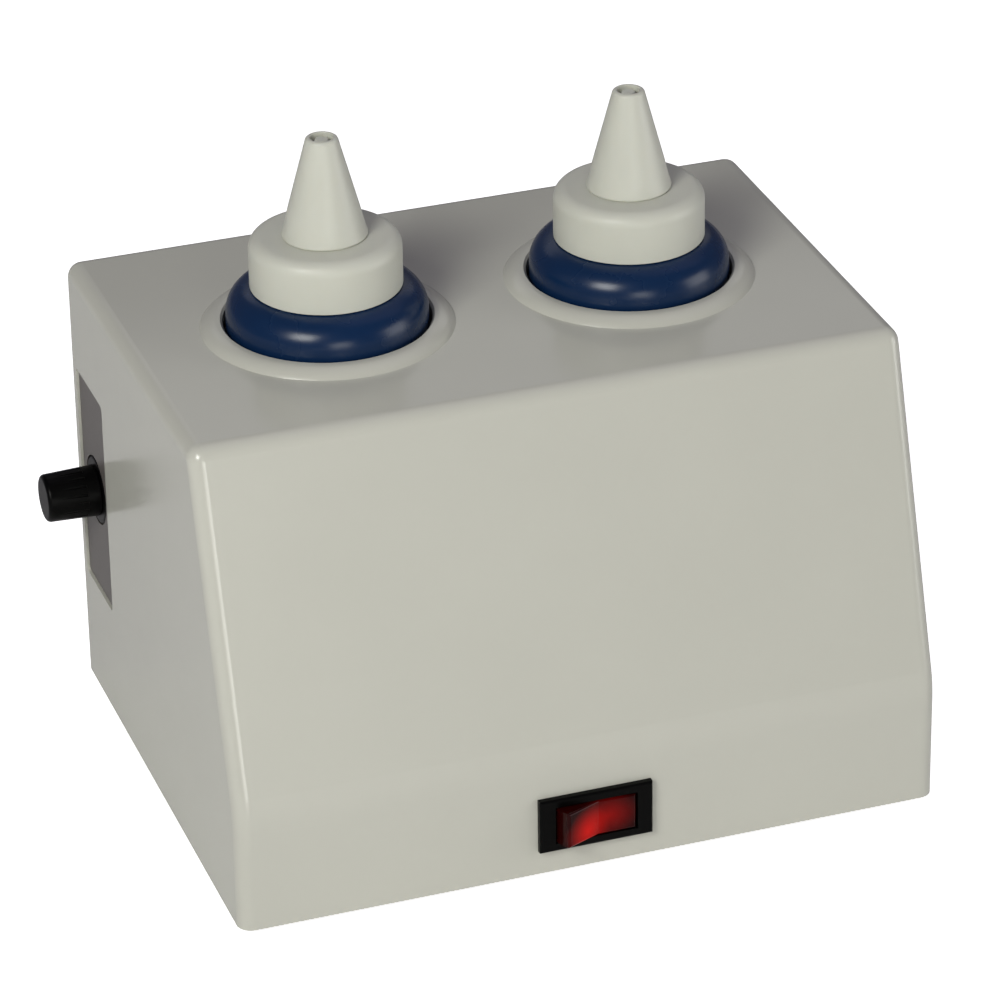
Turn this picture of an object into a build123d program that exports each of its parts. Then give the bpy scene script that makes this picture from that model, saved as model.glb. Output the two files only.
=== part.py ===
"""Two-well dry bottle warmer: a moulded housing with two heated wells, each holding a dispensing bottle.

Sizes are in millimetres. The housing's mid plane is x = 0 and its back is towards +Y, up is +Z and the
surface that it stands on is z = 0. FOOTPRINT_SHIFT moves every piece, so that the origin is the centre of
the footprint of the whole object, with its fuse cap and its inlet.
"""

from build123d import *
import math
import os

# ---------------------------------------------------------------- driving sizes
# Housing
HOUSING_WIDTH = 195.0
TOP_DEPTH = 121.2
BASE_DEPTH = 150.4
HOUSING_HEIGHT = 126.4
CREASE_HEIGHT = 33.9  # the front is upright below this and leans back above it
HOUSING_WALL = 3.0
SIDE_EDGE_RADIUS = 4.0
TOP_EDGE_RADIUS = 4.6
CREASE_RADIUS = 30.0

# Base plate, feet and the screws that close the housing
FOOT_HEIGHT = 3.0
FOOT_RADIUS = 7.5
FOOT_INSET_X = 22.0
FOOT_INSET_Y = 21.0
BASE_THICKNESS = 2.0
BASE_GAP = 0.5
BASE_CORNER_RADIUS = 3.0
BOSS_RADIUS = 5.0
BOSS_HEIGHT = 20.0
BOSS_INSET_X = 13.5
BOSS_RIB = 3.0

# Wells
WELL_SPACING = 85.0
WELL_FORWARD = 3.1  # how far the wells stand in front of the middle of the top
BOTTLE_GAP = 0.9
CUP_WALL = 1.5
CUP_FLOOR = 4.0
CUP_FLANGE_WIDTH = 7.7
COLLAR_WIDTH = 6.1
COLLAR_HEIGHT = 2.4
COLLAR_LAND = 1.8  # flat ring at the top of the collar
COLLAR_SCREWS = 4
HEATER_THICKNESS = 1.7
HEATER_HEIGHT = 70.0
HEATER_GAP_DEG = 30.0
SLEEVE_THICKNESS = 4.5
SLEEVE_HEIGHT = 78.0
HEATER_ABOVE_FLOOR = 8.0
HEATER_LEAD_RADIUS = 0.75
THERMOSTAT_SPACE = 13.3  # free height between the base plate and a well cup
THERMOSTAT_RADIUS = 7.8
THERMOSTAT_CAP_HEIGHT = 2.6
THERMOSTAT_BODY_HEIGHT = 5.2
THERMOSTAT_EAR = 0.8
THERMOSTAT_HALF_SPACING = 12.0
THERMOSTAT_TAG_START = 2.5
THERMOSTAT_TAG_REACH = 13.0
THERMOSTAT_SCREW_BITE = 3.0

# Flat push-on tags
TAG_WIDTH = 6.3
TAG_THICKNESS = 0.8

# Bottle, cap and spout
BOTTLE_RADIUS = 26.9
BOTTLE_WALL = 1.2
BOTTLE_CORNER_RADIUS = 4.0
BOTTLE_BASE_RISE = 1.8
BOTTLE_RING_INNER = 10.0  # the standing ring's inner slope, from the bottle's side
BOTTLE_RING_OUTER = 7.0
BOTTLE_STANDS_OUT = 11.9  # its shoulder's top above the housing's top
SHOULDER_RADIUS = 7.6
NECK_RADIUS = 17.6
NECK_HEIGHT = 9.0
NECK_BEAD = 0.5
CAP_RADIUS = 20.3
CAP_WALL = 1.85
CAP_GAP = 0.3
CAP_TOP = 4.2
CAP_EDGE_RADIUS = 3.6
LINER_THICKNESS = 1.0
SPOUT_RING_RADIUS = 11.4
SPOUT_RING_HEIGHT = 1.2
SPOUT_BASE_RADIUS = 10.5
SPOUT_TIP_RADIUS = 4.45
SPOUT_HEIGHT = 27.7
SPOUT_BORE_RADIUS = 7.06
SPOUT_BORE_DEPTH = 11.0
CHIMNEY_HEIGHT = 7.5
POST_RADIUS = 1.9
MOUTH_RADIUS = 3.1
MOUTH_DEPTH = 2.0

# Rocker switch
SWITCH_Z = 14.95  # its centre above the housing's bottom edge
BEZEL_WIDTH = 31.6
BEZEL_HEIGHT = 15.7
BEZEL_THICKNESS = 2.0
SWITCH_BODY_WIDTH = 28.4
SWITCH_BODY_HEIGHT = 12.6
SWITCH_BODY_DEPTH = 20.0
SWITCH_POCKET_DEPTH = 14.0
SWITCH_GAP = 0.1
ROCKER_HALF = 10.1
ROCKER_HEIGHT = 10.4
ROCKER_SLOPE_DEG = 12.0
ROCKER_TILT_DEG = 11.0
ROCKER_PIVOT_DEPTH = 2.5
ROCKER_KEEL = 6.0
ROCKER_PIN_RADIUS = 1.45
PIN_CLEARANCE = 0.05
LAMP_RADIUS = 1.5
LAMP_LENGTH = 9.0
LAMP_X = -4.2
SWITCH_TAG_PLACES = (-8.0, 0.0, 8.0)
SWITCH_TAG_WIDTH = 4.8
SWITCH_TAG_LENGTH = 9.0
SWITCH_CATCH = 0.9
SWITCH_CATCH_LENGTH = 5.0
SWITCH_CATCH_HEIGHT = 6.0

# Side window, its plate and the fuse holder
WINDOW_FROM_BACK = 6.5
WINDOW_WIDTH = 26.2
WINDOW_BOTTOM = 33.4
WINDOW_HEIGHT = 63.1
WINDOW_CORNER_RADIUS = 1.5
SIDE_PLATE_THICKNESS = 1.5
SIDE_PLATE_MARGIN = 4.5
SIDE_PLATE_FOOT = 14.5
PANEL_RISE = 2.4  # how far the plate's panel stands out into the window
PANEL_GAP = 0.3
PANEL_EDGE_RADIUS = 0.5
FUSE_FLANGE_RADIUS = 9.5
FUSE_FLANGE_THICKNESS = 2.5
FUSE_BARREL_RADIUS = 6.3
FUSE_BARREL_LENGTH = 20.0
FUSE_BORE_RADIUS = 4.6
FUSE_KNOB_RADIUS = 7.1
FUSE_KNOB_TAPER = 0.5
FUSE_KNOB_LENGTH = 14.6
KNOB_GROOVES = 18
KNOB_GROOVE_RADIUS = 0.55
KNOB_PLAIN_LENGTH = 3.5
FUSE_STUB_LENGTH = 6.5
FUSE_NUT_RADIUS = 9.0
FUSE_NUT_THICKNESS = 3.0
FUSE_LENGTH = 20.0
FUSE_DEPTH = 8.2  # the fuse's front end behind the knob's face
FUSE_CAP_RADIUS = 2.6
FUSE_CAP_LENGTH = 5.0
FUSE_GLASS_RADIUS = 2.3
FUSE_GLASS_WALL = 0.6
FUSE_GLASS_INSET = 0.4
FUSE_ELEMENT_RADIUS = 0.25
FUSE_TAG_WIDTH = 4.8
FUSE_TAG_LENGTH = 9.0
FUSE_SIDE_TAG_DROP = 7.0
FUSE_SIDE_TAG_INSET = 7.5
FUSE_CONTACT_THICKNESS = 0.8
FUSE_BARREL_END = 2.0
SPRING_WIRE_RADIUS = 0.3
SPRING_RADIUS = 2.0
SPRING_TURNS = 4

# Power inlet at the back
INLET_Z = 34.0
INLET_WIDTH = 48.0
INLET_HEIGHT = 22.6
INLET_FLANGE = 3.0
INLET_BODY_WIDTH = 27.2
INLET_BODY_HEIGHT = 19.8
INLET_BODY_DEPTH = 17.5
INLET_MOUTH_WIDTH = 24.2
INLET_MOUTH_HEIGHT = 16.6
INLET_MOUTH_DEPTH = 15.5
INLET_PIN_SPACING = 14.0
INLET_EARTH_RISE = 4.0
INLET_SCREW_SPACING = 40.0
INLET_MOUTH_BEVEL = 4.5
INLET_PIN_THICKNESS = 2.0
INLET_PIN_HEIGHT = 4.0
INLET_PIN_RECESS = 1.2
INLET_TAG_LENGTH = 6.5

# Inner fittings on the base plate
BLOCK_X = 37.0
BLOCK_WIDTH = 30.0
BLOCK_DEPTH = 16.0
BLOCK_HEIGHT = 12.0
BLOCK_FROM_BACK = 19.0
BLOCK_WAYS = 3
BLOCK_WIRE_HEIGHT = 5.04
INSERT_RADIUS = 2.2
INSERT_BORE = 1.35
EARTH_X = -36.0
EARTH_FROM_BACK = 15.0

# Fasteners: the radius of each thread and the shares that make its head
M2 = 1.0
M3 = 1.5
M4 = 2.0
HEAD_RADIUS_SHARE = 1.9
HEAD_HEIGHT_SHARE = 1.2
SCREW_GAP = 0.2

WIRE_RADIUS = 1.1

# ---------------------------------------------------------------- planes and places that follow
BACK_Y = BASE_DEPTH / 2
FRONT_Y = -BASE_DEPTH / 2
TOP_FRONT_Y = BACK_Y - TOP_DEPTH
HALF_WIDTH = HOUSING_WIDTH / 2
INNER_BACK_Y = BACK_Y - HOUSING_WALL
INNER_FRONT_Y = FRONT_Y + HOUSING_WALL
INNER_LEFT_X = -HALF_WIDTH + HOUSING_WALL
BASE_TOP_Z = FOOT_HEIGHT + BASE_THICKNESS
BLOCK_WIRE_Z = BASE_TOP_Z + BLOCK_WIRE_HEIGHT
TOP_Z = FOOT_HEIGHT + HOUSING_HEIGHT
INNER_TOP_Z = TOP_Z - HOUSING_WALL
CREASE_Z = FOOT_HEIGHT + CREASE_HEIGHT

WELL_Y = BACK_Y - TOP_DEPTH / 2 - WELL_FORWARD
WELL_X = {"left": -WELL_SPACING / 2, "right": WELL_SPACING / 2}
WELL_RADIUS = BOTTLE_RADIUS + BOTTLE_GAP
CUP_BOTTOM_Z = BASE_TOP_Z + THERMOSTAT_SPACE
WELL_FLOOR_Z = CUP_BOTTOM_Z + CUP_FLOOR
CUP_RADIUS = WELL_RADIUS + CUP_WALL
HEATER_LOW_Z = WELL_FLOOR_Z + HEATER_ABOVE_FLOOR
FLANGE_TOP_Z = INNER_TOP_Z
FLANGE_BOTTOM_Z = INNER_TOP_Z - CUP_WALL
COLLAR_SCREW_RADIUS = CUP_RADIUS + M2 * HEAD_RADIUS_SHARE + 0.3
SHOULDER_Z = TOP_Z + BOTTLE_STANDS_OUT
NECK_TOP_Z = SHOULDER_Z + NECK_HEIGHT
CAP_BOTTOM_Z = SHOULDER_Z + CAP_GAP
CAP_CEILING_Z = NECK_TOP_Z + LINER_THICKNESS
SPOUT_Z = CAP_CEILING_Z + CAP_TOP
SPOUT_TIP_Z = SPOUT_Z + SPOUT_HEIGHT

SWITCH_CENTRE_Z = FOOT_HEIGHT + SWITCH_Z
ROCKER_PIVOT_Y = FRONT_Y - BEZEL_THICKNESS + ROCKER_PIVOT_DEPTH
FUSE_Y = BACK_Y - WINDOW_FROM_BACK - WINDOW_WIDTH / 2
FUSE_Z = FOOT_HEIGHT + WINDOW_BOTTOM + WINDOW_HEIGHT / 2
FUSE_FACE_X = INNER_LEFT_X - FUSE_FLANGE_THICKNESS
FUSE_KNOB_X = FUSE_FACE_X - 0.3
FUSE_END_X = FUSE_KNOB_X - FUSE_KNOB_LENGTH
FUSE_FRONT_X = FUSE_END_X + FUSE_DEPTH
FUSE_REAR_X = FUSE_FRONT_X + FUSE_LENGTH
FUSE_BARREL_END_X = INNER_LEFT_X + FUSE_BARREL_LENGTH
FUSE_SIDE_TAG_X = FUSE_BARREL_END_X - FUSE_SIDE_TAG_INSET
FUSE_SIDE_TAG_Z = FUSE_Z - FUSE_BARREL_RADIUS - FUSE_SIDE_TAG_DROP

BOSSES = [
    (side * (HALF_WIDTH - BOSS_INSET_X), y, wall)
    for side in (-1, 1)
    for y, wall in (
        (INNER_BACK_Y - BOSS_RADIUS - 1.5, INNER_BACK_Y),
        (INNER_FRONT_Y + BOSS_RADIUS + 1.5, INNER_FRONT_Y),
    )
]
FEET = [
    (sx * (HALF_WIDTH - FOOT_INSET_X), sy * (BASE_DEPTH / 2 - FOOT_INSET_Y))
    for sx in (-1, 1)
    for sy in (-1, 1)
]

# The whole object's footprint runs from the fuse cap to the housing's right side, and from the rocker's
# raised end to the inlet's flange.
ROCKER_RISE = ROCKER_PIVOT_DEPTH + ROCKER_HALF * math.tan(math.radians(ROCKER_SLOPE_DEG))
ROCKER_REACH = math.hypot(ROCKER_HALF, ROCKER_RISE)
ROCKER_TILT = math.radians(ROCKER_TILT_DEG)
ROCKER_TIP_Y = ROCKER_PIVOT_Y - ROCKER_RISE * math.cos(ROCKER_TILT) - ROCKER_HALF * math.sin(ROCKER_TILT)
FOOTPRINT_SHIFT = (
    -(FUSE_END_X + HALF_WIDTH) / 2,
    -(ROCKER_TIP_Y + BACK_Y + INLET_FLANGE) / 2,
    0.0,
)

ON_BASE = (Align.CENTER, Align.CENTER, Align.MIN)
HALF_TURN_SHARE = math.sqrt(0.5)  # where a quarter round's middle lies, as a share of its radius


# ---------------------------------------------------------------- helpers
def rod(radius, low, high, x=0.0, y=0.0):
    """An upright cylinder from low to high."""
    return Pos(x, y, low) * Cylinder(radius, high - low, align=ON_BASE)


def tube(inner, outer, low, high, x=0.0, y=0.0):
    return rod(outer, low, high, x, y) - rod(inner, low, high, x, y)


def block(x_range, y_range, z_range):
    """A box between two corners, given as one range for each axis."""
    sizes = [high - low for low, high in (x_range, y_range, z_range)]
    middle = [(low + high) / 2 for low, high in (x_range, y_range, z_range)]
    return Pos(*middle) * Box(*sizes)


def lathe(*lines):
    """A solid turned about Z from a closed outline of lines and arcs in the XZ plane."""
    return revolve(Plane.XZ * make_face(Curve() + list(lines)), Axis.Z)


def along_x(solid, x, y, z, way=1):
    """Turns what was built along +Z to lie along +X, or -X when way is -1, with its origin at the place."""
    return Pos(x, y, z) * Rot(0, 90 * way, 0) * solid


def along_y(solid, x, y, z, way=1):
    return Pos(x, y, z) * Rot(-90 * way, 0, 0) * solid


def screw(thread_radius, length, countersunk=False):
    """Head upwards, with the face that it pulls against at z = 0, or its flat top there if countersunk."""
    head_radius = thread_radius * HEAD_RADIUS_SHARE
    head_height = thread_radius * HEAD_HEIGHT_SHARE
    shank = rod(thread_radius, -length, 0)
    if countersunk:
        head = Pos(0, 0, -head_height) * Cone(thread_radius, head_radius, head_height, align=ON_BASE)
        top = 0.0
    else:
        head = rod(head_radius, 0, head_height)
        head = fillet(head.edges().group_by(Axis.Z)[-1], head_height * 0.45)
        top = head_height
    slot = thread_radius * 0.4
    reach = head_radius * 0.62
    low = top - head_height * 0.6
    cross = block((-reach, reach), (-slot / 2, slot / 2), (low, top + 1)) + block(
        (-slot / 2, slot / 2), (-reach, reach), (low, top + 1)
    )
    return shank + head - cross


def rims_outside(solid, radius):
    """The round edges of a turned solid that are larger than a radius."""
    return [edge for edge in solid.edges().filter_by(GeomType.CIRCLE) if edge.radius > radius]


def hex_nut(thread_radius, height):
    flat = thread_radius * 1.85
    body = extrude(RegularPolygon(flat, 6, major_radius=False), amount=height)
    return body - rod(thread_radius, 0, height)


def gather(*solids):
    """One node that holds separate solids."""
    return Compound([s for piece in solids for s in piece.solids()])


# ---------------------------------------------------------------- housing
def housing_form(inset, side_radius):
    """The housing's outer form, or its hollow when inset is the wall. The hollow runs out at the bottom."""
    low = FOOT_HEIGHT - 2 * inset
    corners = [
        (BACK_Y, low),
        (BACK_Y, TOP_Z),
        (TOP_FRONT_Y, TOP_Z),
        (FRONT_Y, CREASE_Z),
        (FRONT_Y, low),
    ]
    outline = make_face(Polyline(*corners, close=True))
    for corner, radius in (
        (corners[1], TOP_EDGE_RADIUS),
        (corners[2], TOP_EDGE_RADIUS),
        (corners[3], CREASE_RADIUS),
    ):
        nearest = outline.vertices().sort_by_distance((*corner, 0))[0]
        outline = fillet(nearest, radius)
    if inset:
        outline = offset(outline, amount=-inset)
    form = extrude(Plane.YZ * outline, amount=HALF_WIDTH - inset, both=True)
    for side in (0, -1):
        face = form.faces().sort_by(Axis.X)[side]
        rim = face.edges().sort_by(Axis.Z)[1:]
        form = fillet(rim, side_radius)
    return form


def housing_cover():
    cover = housing_form(0.0, SIDE_EDGE_RADIUS)
    cover -= housing_form(HOUSING_WALL, SIDE_EDGE_RADIUS - HOUSING_WALL)
    for x, y, wall in BOSSES:
        top = BASE_TOP_Z + BOSS_HEIGHT
        into_wall = wall + math.copysign(HOUSING_WALL / 2, wall)
        rib_y = sorted((y, into_wall))
        cover += rod(BOSS_RADIUS, BASE_TOP_Z, top, x, y)
        cover += block((x - BOSS_RIB / 2, x + BOSS_RIB / 2), rib_y, (BASE_TOP_Z, top))
        cover -= rod(M3, BASE_TOP_Z, top - 3, x, y)
    for x in WELL_X.values():
        cover -= rod(WELL_RADIUS, INNER_TOP_Z - 1, TOP_Z + 1, x, WELL_Y)
        for place in collar_screw_places(x):
            cover -= rod(M2 + SCREW_GAP, INNER_TOP_Z - 1, TOP_Z + 1, *place)
    switch_hole = Box(
        SWITCH_BODY_WIDTH + 2 * SWITCH_GAP, 4 * HOUSING_WALL, SWITCH_BODY_HEIGHT + 2 * SWITCH_GAP
    )
    cover -= Pos(0, FRONT_Y + HOUSING_WALL / 2, SWITCH_CENTRE_Z) * switch_hole
    window = Box(2 * HOUSING_WALL, WINDOW_WIDTH, WINDOW_HEIGHT)
    window = fillet(window.edges().filter_by(Axis.X), WINDOW_CORNER_RADIUS)
    cover -= Pos(-HALF_WIDTH + HOUSING_WALL / 2, FUSE_Y, FUSE_Z) * window
    inlet_hole = Box(INLET_BODY_WIDTH + 0.4, 3 * HOUSING_WALL, INLET_BODY_HEIGHT + 0.4)
    cover -= Pos(0, BACK_Y - HOUSING_WALL / 2, INLET_Z) * inlet_hole
    for x in (-INLET_SCREW_SPACING / 2, INLET_SCREW_SPACING / 2):
        hole = Cylinder(M3 + SCREW_GAP, 3 * HOUSING_WALL)
        cover -= along_y(hole, x, BACK_Y - HOUSING_WALL / 2, INLET_Z)
    return cover


def base_plate():
    width = HOUSING_WIDTH - 2 * HOUSING_WALL - 2 * BASE_GAP
    depth = BASE_DEPTH - 2 * HOUSING_WALL - 2 * BASE_GAP
    outline = RectangleRounded(width, depth, BASE_CORNER_RADIUS)
    plate = Pos(0, 0, FOOT_HEIGHT) * extrude(outline, amount=BASE_THICKNESS)
    for x, y in [(x, y) for x, y, _ in BOSSES] + FEET:
        plate -= rod(M3 + SCREW_GAP, 0, BASE_TOP_Z + 1, x, y)
    for x, y in block_screw_places() + side_plate_screw_places():
        plate -= rod(M3, 0, BASE_TOP_Z + 1, x, y)
    plate -= rod(M4, 0, BASE_TOP_Z + 1, EARTH_X, earth_y())
    return plate


def base_screws():
    """Four screws through the base plate into the housing's bosses."""
    return gather(
        *(Pos(x, y, FOOT_HEIGHT) * Rot(180, 0, 0) * screw(M3, 12.0) for x, y, _ in BOSSES)
    )


def foot_sizes():
    """Depth of the pocket under a foot, which hides the screw's head, and the pocket's radius."""
    return M3 * HEAD_HEIGHT_SHARE + 0.4, M3 * HEAD_RADIUS_SHARE + 0.4


def rubber_feet():
    pocket, pocket_radius = foot_sizes()
    foot = rod(FOOT_RADIUS, 0, FOOT_HEIGHT)
    foot = fillet(foot.edges().group_by(Axis.Z)[0], 0.8)
    foot -= rod(pocket_radius, -1, pocket)
    foot -= rod(M3, 0, FOOT_HEIGHT + 1)
    return gather(*(Pos(x, y, 0) * foot for x, y in FEET))


def foot_screws():
    pocket, _ = foot_sizes()
    length = BASE_TOP_Z - pocket + M3 * 2
    return gather(*(Pos(x, y, pocket) * Rot(180, 0, 0) * screw(M3, length) for x, y in FEET))


def foot_nuts():
    return gather(*(Pos(x, y, BASE_TOP_Z) * hex_nut(M3, M3 * 1.6) for x, y in FEET))


# ---------------------------------------------------------------- wells
def collar_screw_places(x):
    turns = [math.radians(45 + 360 / COLLAR_SCREWS * i) for i in range(COLLAR_SCREWS)]
    return [
        (x + COLLAR_SCREW_RADIUS * math.cos(t), WELL_Y + COLLAR_SCREW_RADIUS * math.sin(t))
        for t in turns
    ]


def well_collar(x):
    """The raised ring round a well's mouth, held from below by screws through the cup's flange."""
    inner, outer = WELL_RADIUS, WELL_RADIUS + COLLAR_WIDTH
    land = inner + COLLAR_LAND
    lip = 0.6
    swell = (land + 0.62 * (outer - land), COLLAR_HEIGHT * 0.66)
    ring = lathe(
        Line((inner, 0), (inner, COLLAR_HEIGHT - lip)),
        Line((inner, COLLAR_HEIGHT - lip), (inner + lip, COLLAR_HEIGHT)),
        Line((inner + lip, COLLAR_HEIGHT), (land, COLLAR_HEIGHT)),
        ThreePointArc((land, COLLAR_HEIGHT), swell, (outer, 0)),
        Line((outer, 0), (inner, 0)),
    )
    ring = Pos(x, WELL_Y, TOP_Z) * ring
    for place in collar_screw_places(x):
        ring -= rod(M2, TOP_Z - 1, TOP_Z + collar_screw_bite(), *place)
    return ring


def collar_screw_bite():
    return COLLAR_HEIGHT * 0.55


def collar_screws():
    length = TOP_Z - FLANGE_BOTTOM_Z + collar_screw_bite() - 0.1
    turned = Rot(180, 0, 0) * screw(M2, length)
    return gather(
        *(
            Pos(*place, FLANGE_BOTTOM_Z) * turned
            for x in WELL_X.values()
            for place in collar_screw_places(x)
        )
    )


def well_cup(x):
    """A drawn aluminium cup that hangs by its flange under the housing's top."""
    flange = WELL_RADIUS + CUP_FLANGE_WIDTH
    cup = rod(CUP_RADIUS, CUP_BOTTOM_Z, FLANGE_TOP_Z) + rod(flange, FLANGE_BOTTOM_Z, FLANGE_TOP_Z)
    cup = fillet(cup.edges().group_by(Axis.Z)[0], 1.5)
    hollow = rod(WELL_RADIUS, WELL_FLOOR_Z, FLANGE_TOP_Z + 1)
    cup -= fillet(hollow.edges().group_by(Axis.Z)[0], 2.0)
    cup = Pos(x, WELL_Y, 0) * cup
    for place in collar_screw_places(x):
        cup -= rod(M2 + SCREW_GAP, FLANGE_BOTTOM_Z - 1, FLANGE_TOP_Z + 1, *place)
    for place in thermostat_screw_places(x):
        cup -= rod(M3, CUP_BOTTOM_Z - 1, CUP_BOTTOM_Z + THERMOSTAT_SCREW_BITE + 0.2, *place)
    return cup


def heater_band(x):
    """A silicone mat wrapped round the cup, with a gap at the back where its laces and leads are."""
    band = tube(CUP_RADIUS, CUP_RADIUS + HEATER_THICKNESS, HEATER_LOW_Z, HEATER_LOW_Z + HEATER_HEIGHT)
    reach = 2 * CUP_RADIUS
    half = math.radians(HEATER_GAP_DEG / 2)
    wedge = make_face(
        Polyline((0, 0), (reach * math.sin(half), reach), (-reach * math.sin(half), reach), close=True)
    )
    band -= Pos(0, 0, HEATER_LOW_Z - 1) * extrude(wedge, amount=HEATER_HEIGHT + 2)
    return Pos(x, WELL_Y, 0) * band


def insulation_sleeve(x):
    inner = CUP_RADIUS + HEATER_THICKNESS
    low = HEATER_LOW_Z + (HEATER_HEIGHT - SLEEVE_HEIGHT) / 2
    return tube(inner, inner + SLEEVE_THICKNESS, low, low + SLEEVE_HEIGHT, x, WELL_Y)


def thermostat_screw_places(x):
    return [(x - THERMOSTAT_HALF_SPACING, WELL_Y), (x + THERMOSTAT_HALF_SPACING, WELL_Y)]


def thermostat_cap(x):
    """The metal cap and its two ears, flat against the underside of a well cup."""
    ears = SlotOverall(2 * THERMOSTAT_HALF_SPACING + 8, 8)
    cap = Pos(0, 0, -THERMOSTAT_EAR) * extrude(ears, amount=THERMOSTAT_EAR)
    cap += rod(THERMOSTAT_RADIUS, -THERMOSTAT_CAP_HEIGHT, 0)
    cap = Pos(x, WELL_Y, CUP_BOTTOM_Z) * cap
    for place in thermostat_screw_places(x):
        cap -= rod(M3, CUP_BOTTOM_Z - 2, CUP_BOTTOM_Z + 1, *place)
    return cap


def thermostat_body(x):
    top = CUP_BOTTOM_Z - THERMOSTAT_CAP_HEIGHT
    body = rod(THERMOSTAT_RADIUS - 0.6, top - THERMOSTAT_BODY_HEIGHT, top, x, WELL_Y)
    return fillet(body.edges().group_by(Axis.Z)[0], 0.5)


def thermostat_tag_z():
    return CUP_BOTTOM_Z - THERMOSTAT_CAP_HEIGHT - THERMOSTAT_BODY_HEIGHT


def thermostat_tags():
    """Two flat tags under each thermostat, one towards the front and one towards the back."""
    high = thermostat_tag_z()
    tags = []
    for x in WELL_X.values():
        for way in (-1, 1):
            y_range = sorted(WELL_Y + way * reach for reach in (THERMOSTAT_TAG_START, THERMOSTAT_TAG_REACH))
            x_range = (x - TAG_WIDTH / 2, x + TAG_WIDTH / 2)
            tags.append(block(x_range, y_range, (high - TAG_THICKNESS, high)))
    return gather(*tags)


def thermostat_screws():
    low = CUP_BOTTOM_Z - THERMOSTAT_EAR
    turned = Rot(180, 0, 0) * screw(M3, THERMOSTAT_EAR + THERMOSTAT_SCREW_BITE)
    places = [place for x in WELL_X.values() for place in thermostat_screw_places(x)]
    return gather(*(Pos(*place, low) * turned for place in places))


# ---------------------------------------------------------------- bottles
def bottle(x):
    """A blow-moulded bottle with a pushed-up base, a round shoulder and a plain neck with one bead."""
    r, wall = BOTTLE_RADIUS, BOTTLE_WALL
    corner, shoulder = BOTTLE_CORNER_RADIUS, SHOULDER_RADIUS
    base, top, rim = WELL_FLOOR_Z, SHOULDER_Z, NECK_TOP_Z
    rise = BOTTLE_BASE_RISE
    ring_inner, ring_outer = r - BOTTLE_RING_INNER, r - BOTTLE_RING_OUTER
    outer = lathe(
        Line((0, base + rise), (ring_inner, base + rise)),
        Line((ring_inner, base + rise), (ring_outer, base)),
        Line((ring_outer, base), (r - corner, base)),
        ThreePointArc(
            (r - corner, base),
            (r - corner + corner * HALF_TURN_SHARE, base + corner - corner * HALF_TURN_SHARE),
            (r, base + corner),
        ),
        Line((r, base + corner), (r, top - shoulder)),
        ThreePointArc(
            (r, top - shoulder),
            (r - shoulder + shoulder * HALF_TURN_SHARE, top - shoulder + shoulder * HALF_TURN_SHARE),
            (r - shoulder, top),
        ),
        Line((r - shoulder, top), (NECK_RADIUS, top)),
        Line((NECK_RADIUS, top), (NECK_RADIUS, rim)),
        Line((NECK_RADIUS, rim), (0, rim)),
        Line((0, rim), (0, base + rise)),
    )
    inner_corner, inner_shoulder = corner - wall, shoulder - wall
    body = rod(r - wall, base + rise + wall, top - wall)
    body = fillet(body.edges().group_by(Axis.Z)[0], inner_corner)
    body = fillet(body.edges().group_by(Axis.Z)[-1], inner_shoulder)
    neck = rod(NECK_RADIUS - wall - 0.4, top - 2 * wall, rim + 1)
    bead = tube(NECK_RADIUS - wall, NECK_RADIUS + NECK_BEAD, rim - 4.2, rim - 2.4)
    bead = fillet(rims_outside(bead, NECK_RADIUS), 0.4)
    return Pos(x, WELL_Y, 0) * (outer + bead - body - neck)


def cap_liner(x):
    return tube(MOUTH_RADIUS + 3, NECK_RADIUS, NECK_TOP_Z, CAP_CEILING_Z, x, WELL_Y)


def spout_radius_at(height):
    """The cone's outer radius at a height above the spout's foot."""
    share = (height - SPOUT_RING_HEIGHT) / (SPOUT_HEIGHT - SPOUT_RING_HEIGHT)
    return SPOUT_BASE_RADIUS + share * (SPOUT_TIP_RADIUS - SPOUT_BASE_RADIUS)


def screw_cap(x):
    """A skirt with a well-rounded top and a chimney, in which a post stands on three webs."""
    chimney = SPOUT_BORE_RADIUS - PIN_CLEARANCE - 0.01
    chimney_bore = chimney - 1.4
    hole = chimney_bore
    top = SPOUT_Z - CAP_BOTTOM_Z
    shell = lathe(
        Line((0, 0), (CAP_RADIUS, 0)),
        Line((CAP_RADIUS, 0), (CAP_RADIUS, top - CAP_EDGE_RADIUS)),
        ThreePointArc(
            (CAP_RADIUS, top - CAP_EDGE_RADIUS),
            (
                CAP_RADIUS - CAP_EDGE_RADIUS * (1 - HALF_TURN_SHARE),
                top - CAP_EDGE_RADIUS * (1 - HALF_TURN_SHARE),
            ),
            (CAP_RADIUS - CAP_EDGE_RADIUS, top),
        ),
        Line((CAP_RADIUS - CAP_EDGE_RADIUS, top), (0, top)),
        Line((0, top), (0, 0)),
    )
    shell = Pos(0, 0, CAP_BOTTOM_Z) * shell
    shell -= rod(CAP_RADIUS - CAP_WALL, CAP_BOTTOM_Z - 1, CAP_CEILING_Z)
    shell += rod(chimney, CAP_CEILING_Z, SPOUT_Z + CHIMNEY_HEIGHT)
    shell -= rod(hole, CAP_CEILING_Z - 1, SPOUT_Z + CHIMNEY_HEIGHT + 1)
    web_low, web_high = SPOUT_Z - 2.0, SPOUT_Z + 1.0
    for turn in (90, 210, 330):
        web = block((0, chimney_bore + 0.3), (-0.6, 0.6), (web_low, web_high))
        shell += Rot(0, 0, turn) * web
    post = rod(POST_RADIUS, web_low, SPOUT_TIP_Z - 0.6)
    shell += fillet(post.edges().group_by(Axis.Z)[-1], 0.5)
    return Pos(x, WELL_Y, 0) * shell


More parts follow.
